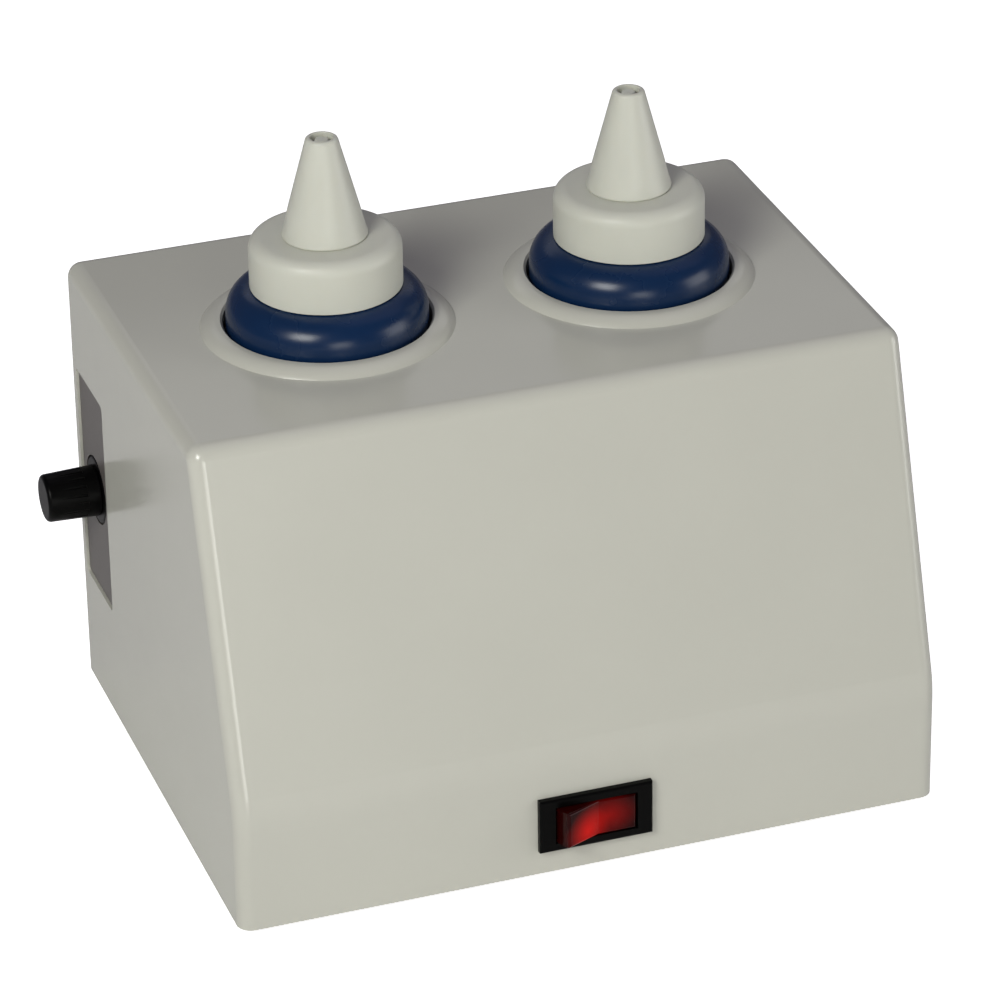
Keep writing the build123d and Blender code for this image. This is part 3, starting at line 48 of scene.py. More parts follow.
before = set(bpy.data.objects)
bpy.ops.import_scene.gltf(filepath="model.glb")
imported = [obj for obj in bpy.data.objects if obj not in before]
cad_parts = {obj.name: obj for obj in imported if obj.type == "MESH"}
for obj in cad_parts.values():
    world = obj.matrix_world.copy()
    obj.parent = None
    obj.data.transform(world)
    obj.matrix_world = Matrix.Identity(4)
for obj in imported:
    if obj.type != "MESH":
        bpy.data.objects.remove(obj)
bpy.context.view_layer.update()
HOUSING_LOW, HOUSING_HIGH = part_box("housing_cover")
HOUSING_MIDDLE = (HOUSING_LOW + HOUSING_HIGH) / 2

# Shapes turned from an outline: flats round the axis, the sharpest edge that is smoothed, and the gap that
# closes a seam.
FLATS_ROUND = 128
SMOOTH_ANGLE = math.radians(35)
SEAM_GAP = 0.01 * MM

# Small edges of a bottle. Its base is a shallow dish inside a round foot ring, and its neck has a bead under
# the thread and rounded lips.
POLE = 1.0 * MM
DISH_EDGE = ((10.6 * MM, 0.0), (9.8 * MM, 0.2 * MM))  # in from the wall, and down from the dish
FOOT_INSET, FOOT_ROUND = 6.6 * MM, 0.8 * MM
ROOT_ROUND, ROOT_LIFT = 0.9 * MM, 0.85 * MM
BEAD_DROP, BEAD_ROUND = 7.2 * MM, 0.45 * MM
LIP_ROUND, MOUTH_ROUND = 0.5 * MM, 0.4 * MM
THROAT_DROP = 1.0 * MM
THREAD_LIFT, THREAD_TURNS, THREAD_FLATS = 2.9 * MM, 1.05, 10

# Small edges of a spout, and its flared foot as radii and heights in millimetres.
FLARE = ((11.1, 1.4), (10.85, 2.2), (10.6, 3.2), (10.3, 4.4), (9.95, 5.9), (9.55, 7.6))
SPOUT_EDGE, TIP_EDGE, BORE_TAPER = 0.5 * MM, 0.2 * MM, 0.8 * MM

# The rocker's two patches of light: each one's middle from the rocker's middle, how far it reaches each way,
# both in millimetres, and its strength.
LAMP_GLOWS = (
    ((-3.2, -2.0, -2.6), (7, 22, 8), 0.62),
    ((3.2, -2.0, 0.2), (9, 22, 7), 0.26),
)

# Soft boxes: place, aim (None is the housing's middle), face, brightness of the face, and colour. Places and
# faces are in metres. The key comes from the upper left, so the caps throw their shadows to the right and
# back. The front box and the right card fill the front and the right side, the strip behind lifts the gloss
# on the front half of the top, and the top box is the room's ceiling.
SOFT_BOXES = {
    "key_box": ((-0.99, -0.86, 1.00), None, (0.6, 0.6), 14.0, "#FFFFFA"),
    "front_box": ((-0.12, -1.48, 0.22), None, (0.5, 0.6), 4.4, "#FFFFF8"),
    "right_card": ((1.25, -0.62, 0.35), None, (0.7, 0.7), 3.4, "#FFFFFC"),
    "back_strip": ((0.10, 0.30, 0.316), (0.10, 0, 0.316), (0.42, 0.088), 0.62, "#FFFFFF"),
    "top_box": ((0.5, 0.3, 1.35), None, (1.2, 1.2), 0.3, "#F0E8FF"),
}
SENSOR_WIDTH = 36.0  # millimetres, as a camera takes it
CAMERA_NEAR, CAMERA_FAR = 0.05, 100.0
FLOOR_SIZE = 60.0


# ---------------------------------------------------------------- settings
class WarmerColours(bpy.types.PropertyGroup):
    """Colours of the finishes, as sRGB hex."""

    housing: bpy.props.StringProperty(
        name="Housing", description="Moulded ABS of the cover", default="#C4C4BA"
    )
    collar: bpy.props.StringProperty(
        name="Collars", description="Moulded ABS of the well collars", default="#C4C4BA"
    )
    plate: bpy.props.StringProperty(
        name="Plates", description="Powder coat of the steel plates", default="#625D5A"
    )
    bottle: bpy.props.StringProperty(
        name="Bottles", description="Dyed polyethylene", default="#0B284C"
    )
    cap: bpy.props.StringProperty(
        name="Caps", description="Natural polypropylene of the caps and spouts", default="#CDCEC3"
    )
    lens: bpy.props.StringProperty(
        name="Rocker", description="Red polycarbonate lens", default="#240202"
    )
    floor: bpy.props.StringProperty(
        name="Floor", description="Pale studio floor", default="#F4F4F4"
    )
    air: bpy.props.StringProperty(
        name="Air", description="Light from all round", default="#F2ECFF"
    )


class WarmerBottle(bpy.types.PropertyGroup):
    """Sizes of a bottle that its box doesn't give."""

    neck: bpy.props.FloatProperty(
        name="Neck", description="Radius of the neck at its thread", default=17.6 * MM, unit="LENGTH"
    )
    neck_height: bpy.props.FloatProperty(
        name="Neck height", description="From the shoulder's top to the rim", default=9.0 * MM, unit="LENGTH"
    )
    shoulder: bpy.props.FloatProperty(
        name="Shoulder", description="Radius of the round shoulder", default=7.6 * MM, unit="LENGTH"
    )
    corner: bpy.props.FloatProperty(
        name="Corner", description="Radius of the edge at the base", default=4.0 * MM, unit="LENGTH"
    )
    wall: bpy.props.FloatProperty(
        name="Wall", description="Thickness of the blown wall", default=1.2 * MM, unit="LENGTH"
    )
    base_rise: bpy.props.FloatProperty(
        name="Base rise", description="How far the base is pushed up", default=1.8 * MM, unit="LENGTH"
    )
    pitch: bpy.props.FloatProperty(
        name="Pitch", description="Rise of the thread in one turn", default=4.23 * MM, unit="LENGTH"
    )
    ridge: bpy.props.FloatProperty(
        name="Ridge", description="Radius of the thread's ridge", default=0.5 * MM, unit="LENGTH"
    )


class WarmerSpout(bpy.types.PropertyGroup):
    """Sizes of a spout that its box doesn't give."""

    tip: bpy.props.FloatProperty(
        name="Tip", description="Radius of the cone at its tip", default=4.45 * MM, unit="LENGTH"
    )
    crown: bpy.props.FloatProperty(
        name="Crown", description="Radius of the tip's round edge", default=1.1 * MM, unit="LENGTH"
    )
    mouth: bpy.props.FloatProperty(
        name="Mouth", description="Radius of the opening at the tip", default=3.1 * MM, unit="LENGTH"
    )
    mouth_depth: bpy.props.FloatProperty(
        name="Mouth depth", description="From the tip to the seat", default=2.0 * MM, unit="LENGTH"
    )
    post: bpy.props.FloatProperty(
        name="Post", description="Radius of the seat's hole over the post", default=1.95 * MM, unit="LENGTH"
    )
    seat_depth: bpy.props.FloatProperty(
        name="Seat depth", description="From the tip to under the seat", default=4.6 * MM, unit="LENGTH"
    )
    bore: bpy.props.FloatProperty(
        name="Bore", description="Radius of the bore over the chimney", default=7.06 * MM, unit="LENGTH"
    )
    bore_depth: bpy.props.FloatProperty(
        name="Bore depth", description="From the foot to the bore's end", default=11.0 * MM, unit="LENGTH"
    )


class WarmerStage(bpy.types.PropertyGroup):
    """The camera and the air round the object."""

    azimuth: bpy.props.FloatProperty(
        name="Azimuth", description="Camera's turn round the object",
        default=math.radians(-18.83), subtype="ANGLE", unit="ROTATION",
    )
    elevation: bpy.props.FloatProperty(
        name="Elevation", description="Camera's height angle",
        default=math.radians(28.07), subtype="ANGLE", unit="ROTATION",
    )
    roll: bpy.props.FloatProperty(
        name="Roll", description="Camera's lean",
        default=math.radians(-0.94), subtype="ANGLE", unit="ROTATION",
    )
    distance: bpy.props.FloatProperty(
        name="Distance", description="Camera from its aim", default=1.4071, unit="LENGTH"
    )
    lens: bpy.props.FloatProperty(
        name="Lens", description="Focal length in millimetres", default=186.98
    )
    aim: bpy.props.FloatVectorProperty(
        name="Aim", description="From the housing's middle",
        default=(0.00255, 0.0049, 0.00495), subtype="XYZ", unit="LENGTH",
    )
    air_strength: bpy.props.FloatProperty(
        name="Air strength", description="Brightness of the light from all round", default=0.115
    )


# ---------------------------------------------------------------- helpers
def linear(hex_colour):
    """An sRGB hex colour as the linear values that a shader takes."""
    values = [int(hex_colour[i : i + 2], 16) / 255 for i in (1, 3, 5)]
    values = [v / 12.92 if v <= 0.04045 else ((v + 0.055) / 1.055) ** 2.4 for v in values]
    return (*values, 1.0)


def per_metre(size_mm):
    """The scale of a pattern on Object coordinates whose features are this many millimetres apart."""
    return 1000 / size_mm


def band_scale(spacing_mm, diagonal=False):
    """The scale of a wave texture whose bands are this many millimetres apart along an axis."""
    return per_metre(spacing_mm) * math.tau / (10 if diagonal else 20)


def deselect():
    if bpy.context.object is not None and bpy.context.object.mode != "OBJECT":
        bpy.ops.object.mode_set(mode="OBJECT")
    bpy.ops.object.select_all(action="DESELECT")


def node(tree, kind, sockets=None, **settings):
    """Adds a node. A socket's value is a number, a colour, or the output that feeds it."""
    made = tree.nodes.new(kind)
    for name, value in settings.items():
        setattr(made, name, value)
    for name, value in (sockets or {}).items():
        socket = made.inputs[name]
        if isinstance(value, bpy.types.NodeSocket):
            tree.links.new(value, socket)
        else:
            socket.default_value = value
    return made


def start_material(name):
    material = bpy.data.materials.new(name)
    material.use_nodes = True
    material.node_tree.nodes.clear()
    return material, material.node_tree


def end_material(tree, sockets):
    shader = node(tree, "ShaderNodeBsdfPrincipled", sockets)
    node(tree, "ShaderNodeOutputMaterial", {"Surface": shader.outputs["BSDF"]})


def dress(material, *names):
    """Gives CAD nodes a finish."""
    for name in names:
        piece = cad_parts[name]
        piece.data.materials.clear()
        piece.data.materials.append(material)


# ---------------------------------------------------------------- shapes
def arc(middle, radius, start, end, steps):
    """Points of a round edge as (radius, height) pairs. Its angles are in degrees, up from straight out."""
    turns = [math.radians(start + (end - start) * i / steps) for i in range(steps + 1)]
    return [(middle[0] + radius * math.cos(t), middle[1] + radius * math.sin(t)) for t in turns]


def turned(name, outline, axis):
    """Extrudes and scales a circle, ring by ring, along an outline of (radius, height) pairs in metres.

    An outline that ends where it began makes a ring with a hole. Any other one is closed at both its ends.
    """
    hollow = outline[0] == outline[-1]
    (radius, height), rest = outline[0], outline[1:]
    deselect()
    bpy.ops.mesh.primitive_circle_add(
        vertices=FLATS_ROUND, radius=radius, fill_type="NOTHING" if hollow else "NGON",
        location=(*axis, height),
    )
    piece = bpy.context.object
    piece.name = name
    bpy.ops.object.transform_apply(location=True, rotation=True, scale=True)
    bpy.ops.object.mode_set(mode="EDIT")
    bpy.ops.mesh.select_all(action="SELECT")
    for next_radius, next_height in rest:
        share = next_radius / radius
        bpy.ops.mesh.extrude_region_move(TRANSFORM_OT_translate={"value": (0, 0, next_height - height)})
        bpy.ops.transform.resize(value=(share, share, 1), center_override=(*axis, next_height))
        radius, height = next_radius, next_height
    bpy.ops.mesh.select_all(action="SELECT")
    if hollow:
        bpy.ops.mesh.remove_doubles(threshold=SEAM_GAP)
    bpy.ops.mesh.normals_make_consistent(inside=False)
    bpy.ops.object.mode_set(mode="OBJECT")
    bpy.ops.object.shade_smooth_by_angle(angle=SMOOTH_ANGLE)
    return piece


def thread(name, axis, radius, low, pitch, ridge):
    """A round ridge wound round a neck, closed at both its ends."""
    deselect()
    bpy.ops.mesh.primitive_circle_add(
        vertices=THREAD_FLATS, radius=ridge, fill_type="NOTHING", location=(radius, 0, low),
        rotation=(math.pi / 2, 0, 0),
    )
    piece = bpy.context.object
    piece.name = name
    bpy.ops.object.transform_apply(location=True, rotation=True, scale=True)
    screw = piece.modifiers.new("winding", "SCREW")
    screw.axis, screw.angle, screw.screw_offset = "Z", math.tau * THREAD_TURNS, pitch * THREAD_TURNS
    screw.steps = screw.render_steps = int(72 * THREAD_TURNS)
    screw.use_merge_vertices, screw.use_normal_calculate = False, True
    bpy.ops.object.modifier_apply(modifier="winding")
    bpy.ops.object.mode_set(mode="EDIT")
    bpy.ops.mesh.select_all(action="SELECT")
    bpy.ops.mesh.fill_holes(sides=THREAD_FLATS)
    bpy.ops.mesh.select_all(action="SELECT")
    bpy.ops.mesh.normals_make_consistent(inside=False)
    bpy.ops.transform.translate(value=(*axis, 0))
    bpy.ops.object.mode_set(mode="OBJECT")
    bpy.ops.object.shade_smooth_by_angle(angle=SMOOTH_ANGLE)
    return piece


def join(whole, *parts):
    deselect()
    for piece in (whole, *parts):
        piece.select_set(True)
    bpy.context.view_layer.objects.active = whole
    bpy.ops.object.join()
    return whole


def finish_piece(piece, material, body, replaced):
    """Gives a new piece its finish, the body that it rides on, and the CAD node that it replaces."""
    piece.data.materials.clear()
    piece.data.materials.append(material)
    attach(piece, body)
    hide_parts(replaced)


def bottle(side, sizes):
    """A blown bottle: pushed-up base, round shoulder, and a threaded neck with its bead."""
    low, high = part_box(f"bottle_{side}")
    axis = ((low.x + high.x) / 2, (low.y + high.y) / 2)
    radius, base, rim = (high.x - low.x) / 2, low.z, high.z
    neck, wall, corner, shoulder = sizes.neck, sizes.wall, sizes.corner, sizes.shoulder
    top, dish, inner = rim - sizes.neck_height, base + sizes.base_rise, radius - sizes.wall
    # The outside, from the dish under the base up to the mouth.
    outline = [(POLE, dish)]
    outline += [(radius - inset, dish - drop) for inset, drop in DISH_EDGE]
    outline += arc((radius - FOOT_INSET, base + FOOT_ROUND), FOOT_ROUND, 220, 270, 4)
    outline += arc((radius - corner, base + corner), corner, 270, 360, 10)
    outline += [(radius, base + (top - base) * share / 4) for share in (1, 2, 3)]
    outline += arc((radius - shoulder, top - shoulder), shoulder, 0, 84, 16)
    outline += arc((neck + ROOT_ROUND, top + ROOT_LIFT), ROOT_ROUND, 265, 180, 5)
    outline += arc((neck, rim - BEAD_DROP), BEAD_ROUND, -80, 80, 6)
    outline += arc((neck - LIP_ROUND, rim - LIP_ROUND), LIP_ROUND, 0, 90, 4)
    # The inside, from the mouth down to the base.
    outline += arc((neck - wall, rim - MOUTH_ROUND), MOUTH_ROUND, 90, 180, 4)
    outline += [(neck - wall - MOUTH_ROUND, top - THROAT_DROP)]
    outline += arc((inner - shoulder, top - shoulder - wall), shoulder, 84, 0, 10)
    outline += arc((inner - corner, dish + wall + corner), corner, 0, -90, 6)
    outline += [(POLE, dish + wall)]
    shell = turned(f"bottle_shell_{side}", outline, axis)
    winding = thread(f"neck_thread_{side}", axis, neck, top + THREAD_LIFT, sizes.pitch, sizes.ridge)
    return join(shell, winding)


def spout(side, sizes):
    """A drawn-in cone with a softly flared foot and a rounded tip, bored for the chimney and the post."""
    low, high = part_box(f"spout_{side}")
    axis = ((low.x + high.x) / 2, (low.y + high.y) / 2)
    foot, base, tip = (high.x - low.x) / 2, low.z, high.z
    mouth, post, bore, crown = sizes.mouth, sizes.post, sizes.bore, sizes.crown
    seat, bore_end = tip - sizes.mouth_depth, base + sizes.bore_depth
    # The outside, from the foot up to the tip.
    outline = [(bore, base), (foot - SPOUT_EDGE, base)]
    outline += arc((foot - SPOUT_EDGE, base + SPOUT_EDGE), SPOUT_EDGE, -60, 30, 4)
    outline += [(radius * MM, base + height * MM) for radius, height in FLARE]
    outline += arc((sizes.tip - crown, tip - crown), crown, 12, 84, 8)
    outline += arc((mouth + TIP_EDGE, tip - TIP_EDGE), TIP_EDGE, 90, 180, 3)
    # The inside, from the mouth down through the seat and the bore, back to where it began.
    outline += [(mouth, seat), (post, seat), (post, tip - sizes.seat_depth)]
    outline += [(bore - BORE_TAPER, bore_end), (bore, bore_end), (bore, base)]
    return turned(f"spout_cone_{side}", outline, axis)


# ---------------------------------------------------------------- finishes
def moulded(
    name, colour, shade, roughness, grain_mm, depth_mm, ior=1.53, cloud_mm=45, polish_mm=14, extra=None
):
    """Injection-moulded plastic: a slightly cloudy colour, and a skin with the grain of its mould."""
    material, tree = start_material(name)
    place = node(tree, "ShaderNodeTexCoord").outputs["Object"]
    cloud = node(tree, "ShaderNodeTexNoise", {"Vector": place, "Scale": per_metre(cloud_mm), "Detail": 3.0})
    colours = node(
        tree, "ShaderNodeMix",
        {"Factor": cloud.outputs["Fac"], "A": linear(shade), "B": linear(colour)}, data_type="RGBA",
    )
    polish = node(tree, "ShaderNodeTexNoise", {"Vector": place, "Scale": per_metre(polish_mm), "Detail": 4.0})
    gloss = node(
        tree, "ShaderNodeMapRange",
        {"Value": polish.outputs["Fac"], "To Min": roughness * 0.85, "To Max": roughness * 1.15},
    )
    grain = node(tree, "ShaderNodeTexNoise", {"Vector": place, "Scale": per_metre(grain_mm), "Detail": 2.0})
    bump = node(
        tree, "ShaderNodeBump",
        {"Height": grain.outputs["Fac"], "Strength": 1.0, "Distance": depth_mm * MM},
    )
    sockets = {
        "Base Color": colours.outputs["Result"],
        "Roughness": gloss.outputs["Result"],
        "IOR": ior,
        "Normal": bump.outputs["Normal"],
    }
    sockets.update(extra or {})
    end_material(tree, sockets)
    return material


def metal(name, colour, tarnish, roughness, grain_mm=0.5, stretch=(1, 1, 1), depth_mm=0.004, patch_mm=7):
    """Bare or plated metal: a little tarnish, and the fine lines of how it was drawn or stamped."""
    material, tree = start_material(name)
    place = node(tree, "ShaderNodeTexCoord").outputs["Object"]
    lines = node(tree, "ShaderNodeMapping", {"Vector": place, "Scale": stretch})
    scratches = node(
        tree, "ShaderNodeTexNoise",
        {"Vector": lines.outputs["Vector"], "Scale": per_metre(grain_mm), "Detail": 4.0},
    )
    patches = node(tree, "ShaderNodeTexNoise", {"Vector": place, "Scale": per_metre(patch_mm), "Detail": 3.0})
    colours = node(
        tree, "ShaderNodeMix",
        {"Factor": patches.outputs["Fac"], "A": linear(colour), "B": linear(tarnish)}, data_type="RGBA",
    )
    gloss = node(
        tree, "ShaderNodeMapRange",
        {"Value": scratches.outputs["Fac"], "To Min": roughness * 0.8, "To Max": roughness * 1.25},
    )
    bump = node(
        tree, "ShaderNodeBump",
        {"Height": scratches.outputs["Fac"], "Strength": 0.5, "Distance": depth_mm * MM},
    )
    end_material(
        tree,
        {
            "Base Color": colours.outputs["Result"],
            "Metallic": 1.0,
            "Roughness": gloss.outputs["Result"],
            "Normal": bump.outputs["Normal"],
        },
    )
    return material


def powder_coat(name, colour, shade, pebble_mm=0.9, depth_mm=0.03, cloud_mm=20):
    """Baked powder on steel: a fine pebbled skin, half gloss."""
    material, tree = start_material(name)
    place = node(tree, "ShaderNodeTexCoord").outputs["Object"]
    pebble = node(
        tree, "ShaderNodeTexVoronoi", {"Vector": place, "Scale": per_metre(pebble_mm)}, feature="SMOOTH_F1"
    )
    cloud = node(tree, "ShaderNodeTexNoise", {"Vector": place, "Scale": per_metre(cloud_mm), "Detail": 3.0})
    colours = node(
        tree, "ShaderNodeMix",
        {"Factor": cloud.outputs["Fac"], "A": linear(shade), "B": linear(colour)}, data_type="RGBA",
    )
    bump = node(
        tree, "ShaderNodeBump",
        {"Height": pebble.outputs["Distance"], "Strength": 0.6, "Distance": depth_mm * MM},
    )
    end_material(
        tree,
        {"Base Color": colours.outputs["Result"], "Roughness": 0.42, "Normal": bump.outputs["Normal"]},
    )
    return material


def lit_lens(name, colour, glow_colour, middle, glows, ripple_mm=2.5, depth_mm=0.05):
    """Red polycarbonate over a neon lamp: brightest over the lamp, dark where the light doesn't get to."""
    material, tree = start_material(name)
    place = node(tree, "ShaderNodeTexCoord").outputs["Object"]
    total = None
    for offset, reach, strength in glows:
        centre = middle + Vector(offset) * MM
        centred = node(tree, "ShaderNodeMapping", {"Vector": place, "Location": -centre})
        scaled = node(
            tree, "ShaderNodeMapping",
            {"Vector": centred.outputs["Vector"], "Scale": [per_metre(size_mm) for size_mm in reach]},
        )
        glow = node(
            tree, "ShaderNodeTexGradient", {"Vector": scaled.outputs["Vector"]}, gradient_type="SPHERICAL"
        )
        soft = node(tree, "ShaderNodeMath", {0: glow.outputs["Fac"], 1: 1.3}, operation="POWER")
        sized = node(tree, "ShaderNodeMath", {0: soft.outputs["Value"], 1: strength}, operation="MULTIPLY")
        if total is None:
            total = sized
        else:
            both = {0: total.outputs["Value"], 1: sized.outputs["Value"]}
            total = node(tree, "ShaderNodeMath", both, operation="ADD")
    ripple = node(tree, "ShaderNodeTexNoise", {"Vector": place, "Scale": per_metre(ripple_mm), "Detail": 2.0})
    bump = node(
        tree, "ShaderNodeBump",
        {"Height": ripple.outputs["Fac"], "Strength": 0.4, "Distance": depth_mm * MM},
    )
    end_material(
        tree,
        {
            "Base Color": linear(colour),
            "Roughness": 0.12,
            "IOR": 1.58,
            "Specular IOR Level": 0.1,
            "Emission Color": linear(glow_colour),
            "Emission Strength": total.outputs["Value"],
            "Normal": bump.outputs["Normal"],
        },
    )
    return material


def clear_glass(name, colour, streak_mm=3, depth_mm=0.02):
    """Drawn soda-lime tube: clear, with a slight ripple."""
    material, tree = start_material(name)
    place = node(tree, "ShaderNodeTexCoord").outputs["Object"]
    streak = node(tree, "ShaderNodeTexNoise", {"Vector": place, "Scale": per_metre(streak_mm), "Detail": 1.0})
    bump = node(
        tree, "ShaderNodeBump",
        {"Height": streak.outputs["Fac"], "Strength": 0.2, "Distance": depth_mm * MM},
    )
    end_material(
        tree,
        {
            "Base Color": linear(colour),
            "Roughness": 0.03,
            "IOR": 1.52,
            "Transmission Weight": 1.0,
            "Normal": bump.outputs["Normal"],
        },
    )
    return material


def silicone_mat(name, colour, shade, warp_mm=1.98, weft_mm=0.7, depth_mm=0.08):
    """Silicone rubber pressed on glass cloth, so that the weave shows through its skin.

    The cloth's warp is drawn a few times as coarse as a real one, so that it shows.
    """
    material, tree = start_material(name)
    place = node(tree, "ShaderNodeTexCoord").outputs["Object"]
    warp = node(
        tree, "ShaderNodeTexWave", {"Vector": place, "Scale": band_scale(warp_mm)},
        wave_type="BANDS", bands_direction="Z",
    )
    weft = node(tree, "ShaderNodeTexNoise", {"Vector": place, "Scale": per_metre(weft_mm), "Detail": 1.0})
    weave = node(
        tree, "ShaderNodeMath", {0: warp.outputs["Fac"], 1: weft.outputs["Fac"]}, operation="MULTIPLY"
    )
    colours = node(
        tree, "ShaderNodeMix",
        {"Factor": weave.outputs["Value"], "A": linear(shade), "B": linear(colour)}, data_type="RGBA",
    )
    bump = node(
        tree, "ShaderNodeBump",
        {"Height": weave.outputs["Value"], "Strength": 0.7, "Distance": depth_mm * MM},
    )
    end_material(
        tree,
        {"Base Color": colours.outputs["Result"], "Roughness": 0.6, "Normal": bump.outputs["Normal"]},
    )
    return material


def needled_felt(name, colour, shade, fibre_mm=0.8, needle_mm=3.0, depth_mm=0.4):
    """Needled glass felt: tangled fibres that lie flat, and rows of needle marks."""
    material, tree = start_material(name)
    place = node(tree, "ShaderNodeTexCoord").outputs["Object"]
    flattened = node(tree, "ShaderNodeMapping", {"Vector": place, "Scale": (1.0, 1.0, 3.0)})
    fibres = node(
        tree, "ShaderNodeTexNoise",
        {
            "Vector": flattened.outputs["Vector"],
            "Scale": per_metre(fibre_mm),
            "Detail": 6.0,
            "Distortion": 1.5,
        },
    )
    needles = node(tree, "ShaderNodeTexVoronoi", {"Vector": place, "Scale": per_metre(needle_mm)})
    height = node(
        tree, "ShaderNodeMath", {0: fibres.outputs["Fac"], 1: needles.outputs["Distance"]}, operation="ADD"
    )
    colours = node(
        tree, "ShaderNodeMix",
        {"Factor": fibres.outputs["Fac"], "A": linear(shade), "B": linear(colour)}, data_type="RGBA",
    )
    bump = node(
        tree, "ShaderNodeBump",
        {"Height": height.outputs["Value"], "Strength": 1.0, "Distance": depth_mm * MM},
    )
    end_material(
        tree,
        {
            "Base Color": colours.outputs["Result"],
            "Roughness": 0.95,
            "Sheen Weight": 0.3,
            "Normal": bump.outputs["Normal"],
        },
    )
    return material


def striped_wire(name, colour, stripe, stripe_mm=8.71, stripe_start=0.6):
    """Extruded insulation with a second colour run in as stripes."""
    material, tree = start_material(name)
    place = node(tree, "ShaderNodeTexCoord").outputs["Object"]
    bands = node(
        tree, "ShaderNodeTexWave", {"Vector": place, "Scale": band_scale(stripe_mm, diagonal=True)},
        wave_type="BANDS", bands_direction="DIAGONAL",
    )
    edge = node(
        tree, "ShaderNodeMath", {0: bands.outputs["Fac"], 1: stripe_start}, operation="GREATER_THAN"
    )
    colours = node(
        tree, "ShaderNodeMix",
        {"Factor": edge.outputs["Value"], "A": linear(colour), "B": linear(stripe)}, data_type="RGBA",
    )
    end_material(tree, {"Base Color": colours.outputs["Result"], "Roughness": 0.38})
    return material


# ---------------------------------------------------------------- housing and base
class WARMER_OT_housing(bpy.types.Operator):
    """Finishes the cover, the collars, the plates, the feet and the plated fasteners"""

    bl_idname = "warmer.housing"
    bl_label = "Housing"

    def execute(self, context):
        colours = context.scene.warmer_colours
        # Glossy ABS moulding: a soft orange peel, wide highlights, and long, gentle clouds in the grey.
        cover_abs = moulded(
            "moulded_abs_warm_grey", colours.housing, "#C0C0B6", roughness=0.2, grain_mm=2.2, depth_mm=0.004
        )
        dress(cover_abs, "housing_cover")
        # The same plastic in a smaller mould: a slightly finer peel, so the rings catch the light evenly.
        collar_abs = moulded(
            "moulded_abs_collar", colours.collar, "#C0C0B6", roughness=0.2, grain_mm=1.8, depth_mm=0.006
        )
        dress(collar_abs, "well_collar_left", "well_collar_right")
        # Powder coat: a dark warm grey with fine pebbles that break up its half gloss.
        coat = powder_coat("powder_coated_steel", colours.plate, "#5A5552")
        dress(coat, "base_plate", "side_plate")
        # Nitrile rubber: nearly black and dull, with the coarse grain of its mould.
        rubber = moulded(
            "moulded_nitrile_rubber", "#141414", "#0C0C0C", roughness=0.7, grain_mm=0.6, depth_mm=0.05
        )
        dress(rubber, "rubber_feet")
        # Zinc plate: bright bluish silver that goes yellowish in patches.
        zinc = metal("zinc_plated_steel", "#C9CCCB", "#B7B4A4", roughness=0.3)
        dress(
            zinc, "base_screws", "foot_screws", "foot_nuts", "collar_screws", "thermostat_screws",
            "side_plate_screws", "inlet_screws", "inlet_nuts", "block_screws", "earth_stud", "earth_nut",
            "terminal_screws",
        )
        return {"FINISHED"}


class WARMER_OT_wells(bpy.types.Operator):
    """Finishes the well cups, their heaters, sleeves and thermostats, and the stamped contacts"""

    bl_idname = "warmer.wells"
    bl_label = "Wells"

    def execute(self, context):
        # Drawn aluminium: pale, soft gloss with fine draw lines round the cup.
        drawn = metal(
            "drawn_aluminium", "#D3D5D6", "#C2C4C6", roughness=0.34, grain_mm=0.6, stretch=(1, 1, 12)
        )
        # Silicone mat: dull brick red with the rows of its glass cloth.
        silicone = silicone_mat("silicone_heater_mat", "#B4512F", "#96401F")
        # Glass felt: off-white and matt, with tangled fibres.
        felt = needled_felt("needled_glass_felt", "#DAD6CB", "#BDB8AA")
        # Phenolic: brown-black, with a low gloss.
        phenolic = moulded(
            "moulded_phenolic", "#1B1816", "#100E0D", roughness=0.35, grain_mm=0.8, depth_mm=0.01
        )
        # Stamped brass: yellow, brighter where it was rubbed.
        brass = metal("stamped_brass", "#D2AA5C", "#B48A41", roughness=0.28)
        dress(brass, "thermostat_tags", "switch_tags", "fuse_tags", "terminal_inserts")
        for side in SIDES:
            dress(drawn, f"well_cup_{side}", f"thermostat_cap_{side}")
            dress(silicone, f"heater_band_{side}")
            dress(felt, f"insulation_sleeve_{side}")
            dress(phenolic, f"thermostat_body_{side}")
        return {"FINISHED"}


class WARMER_OT_bottles(bpy.types.Operator):
    """Models the bottles and their spouts, and finishes them with their caps and liners"""

    bl_idname = "warmer.bottles"
    bl_label = "Bottles"

    def execute(self, context):
        scene = context.scene
        colours = scene.warmer_colours
        # Blown polyethylene: deep navy with a waxy skin, whose highlights spread along the shoulder.
        navy = moulded(
            "blown_navy_polyethylene", colours.bottle, "#092242", roughness=0.27, grain_mm=3.0,
            depth_mm=0.012, extra={"Specular IOR Level": 0.3},
        )
        # Undyed polypropylene: milky off-white that lets a little light in, so its edges look soft.
        natural = moulded(
            "moulded_natural_polypropylene", colours.cap, "#C8C9BE", roughness=0.42, grain_mm=1.0,
            depth_mm=0.008, ior=1.49,
            extra={"Subsurface Weight": 0.25, "Subsurface Radius": (0.004, 0.0035, 0.003)},
        )
        # Foamed polyethylene: white and matt, with the cells of the foam.
        foam = moulded(
            "expanded_polyethylene_liner", "#E4E4E0", "#D8D8D2", roughness=0.8, grain_mm=0.5, depth_mm=0.05
        )
        for side in SIDES:
            shell = bottle(side, scene.warmer_bottle)
            finish_piece(shell, navy, f"bottle_{side}", f"bottle_{side}")
            cone = spout(side, scene.warmer_spout)
            finish_piece(cone, natural, f"spout_{side}", f"spout_{side}")
            dress(natural, f"screw_cap_{side}")
            dress(foam, f"cap_liner_{side}")
        return {"FINISHED"}


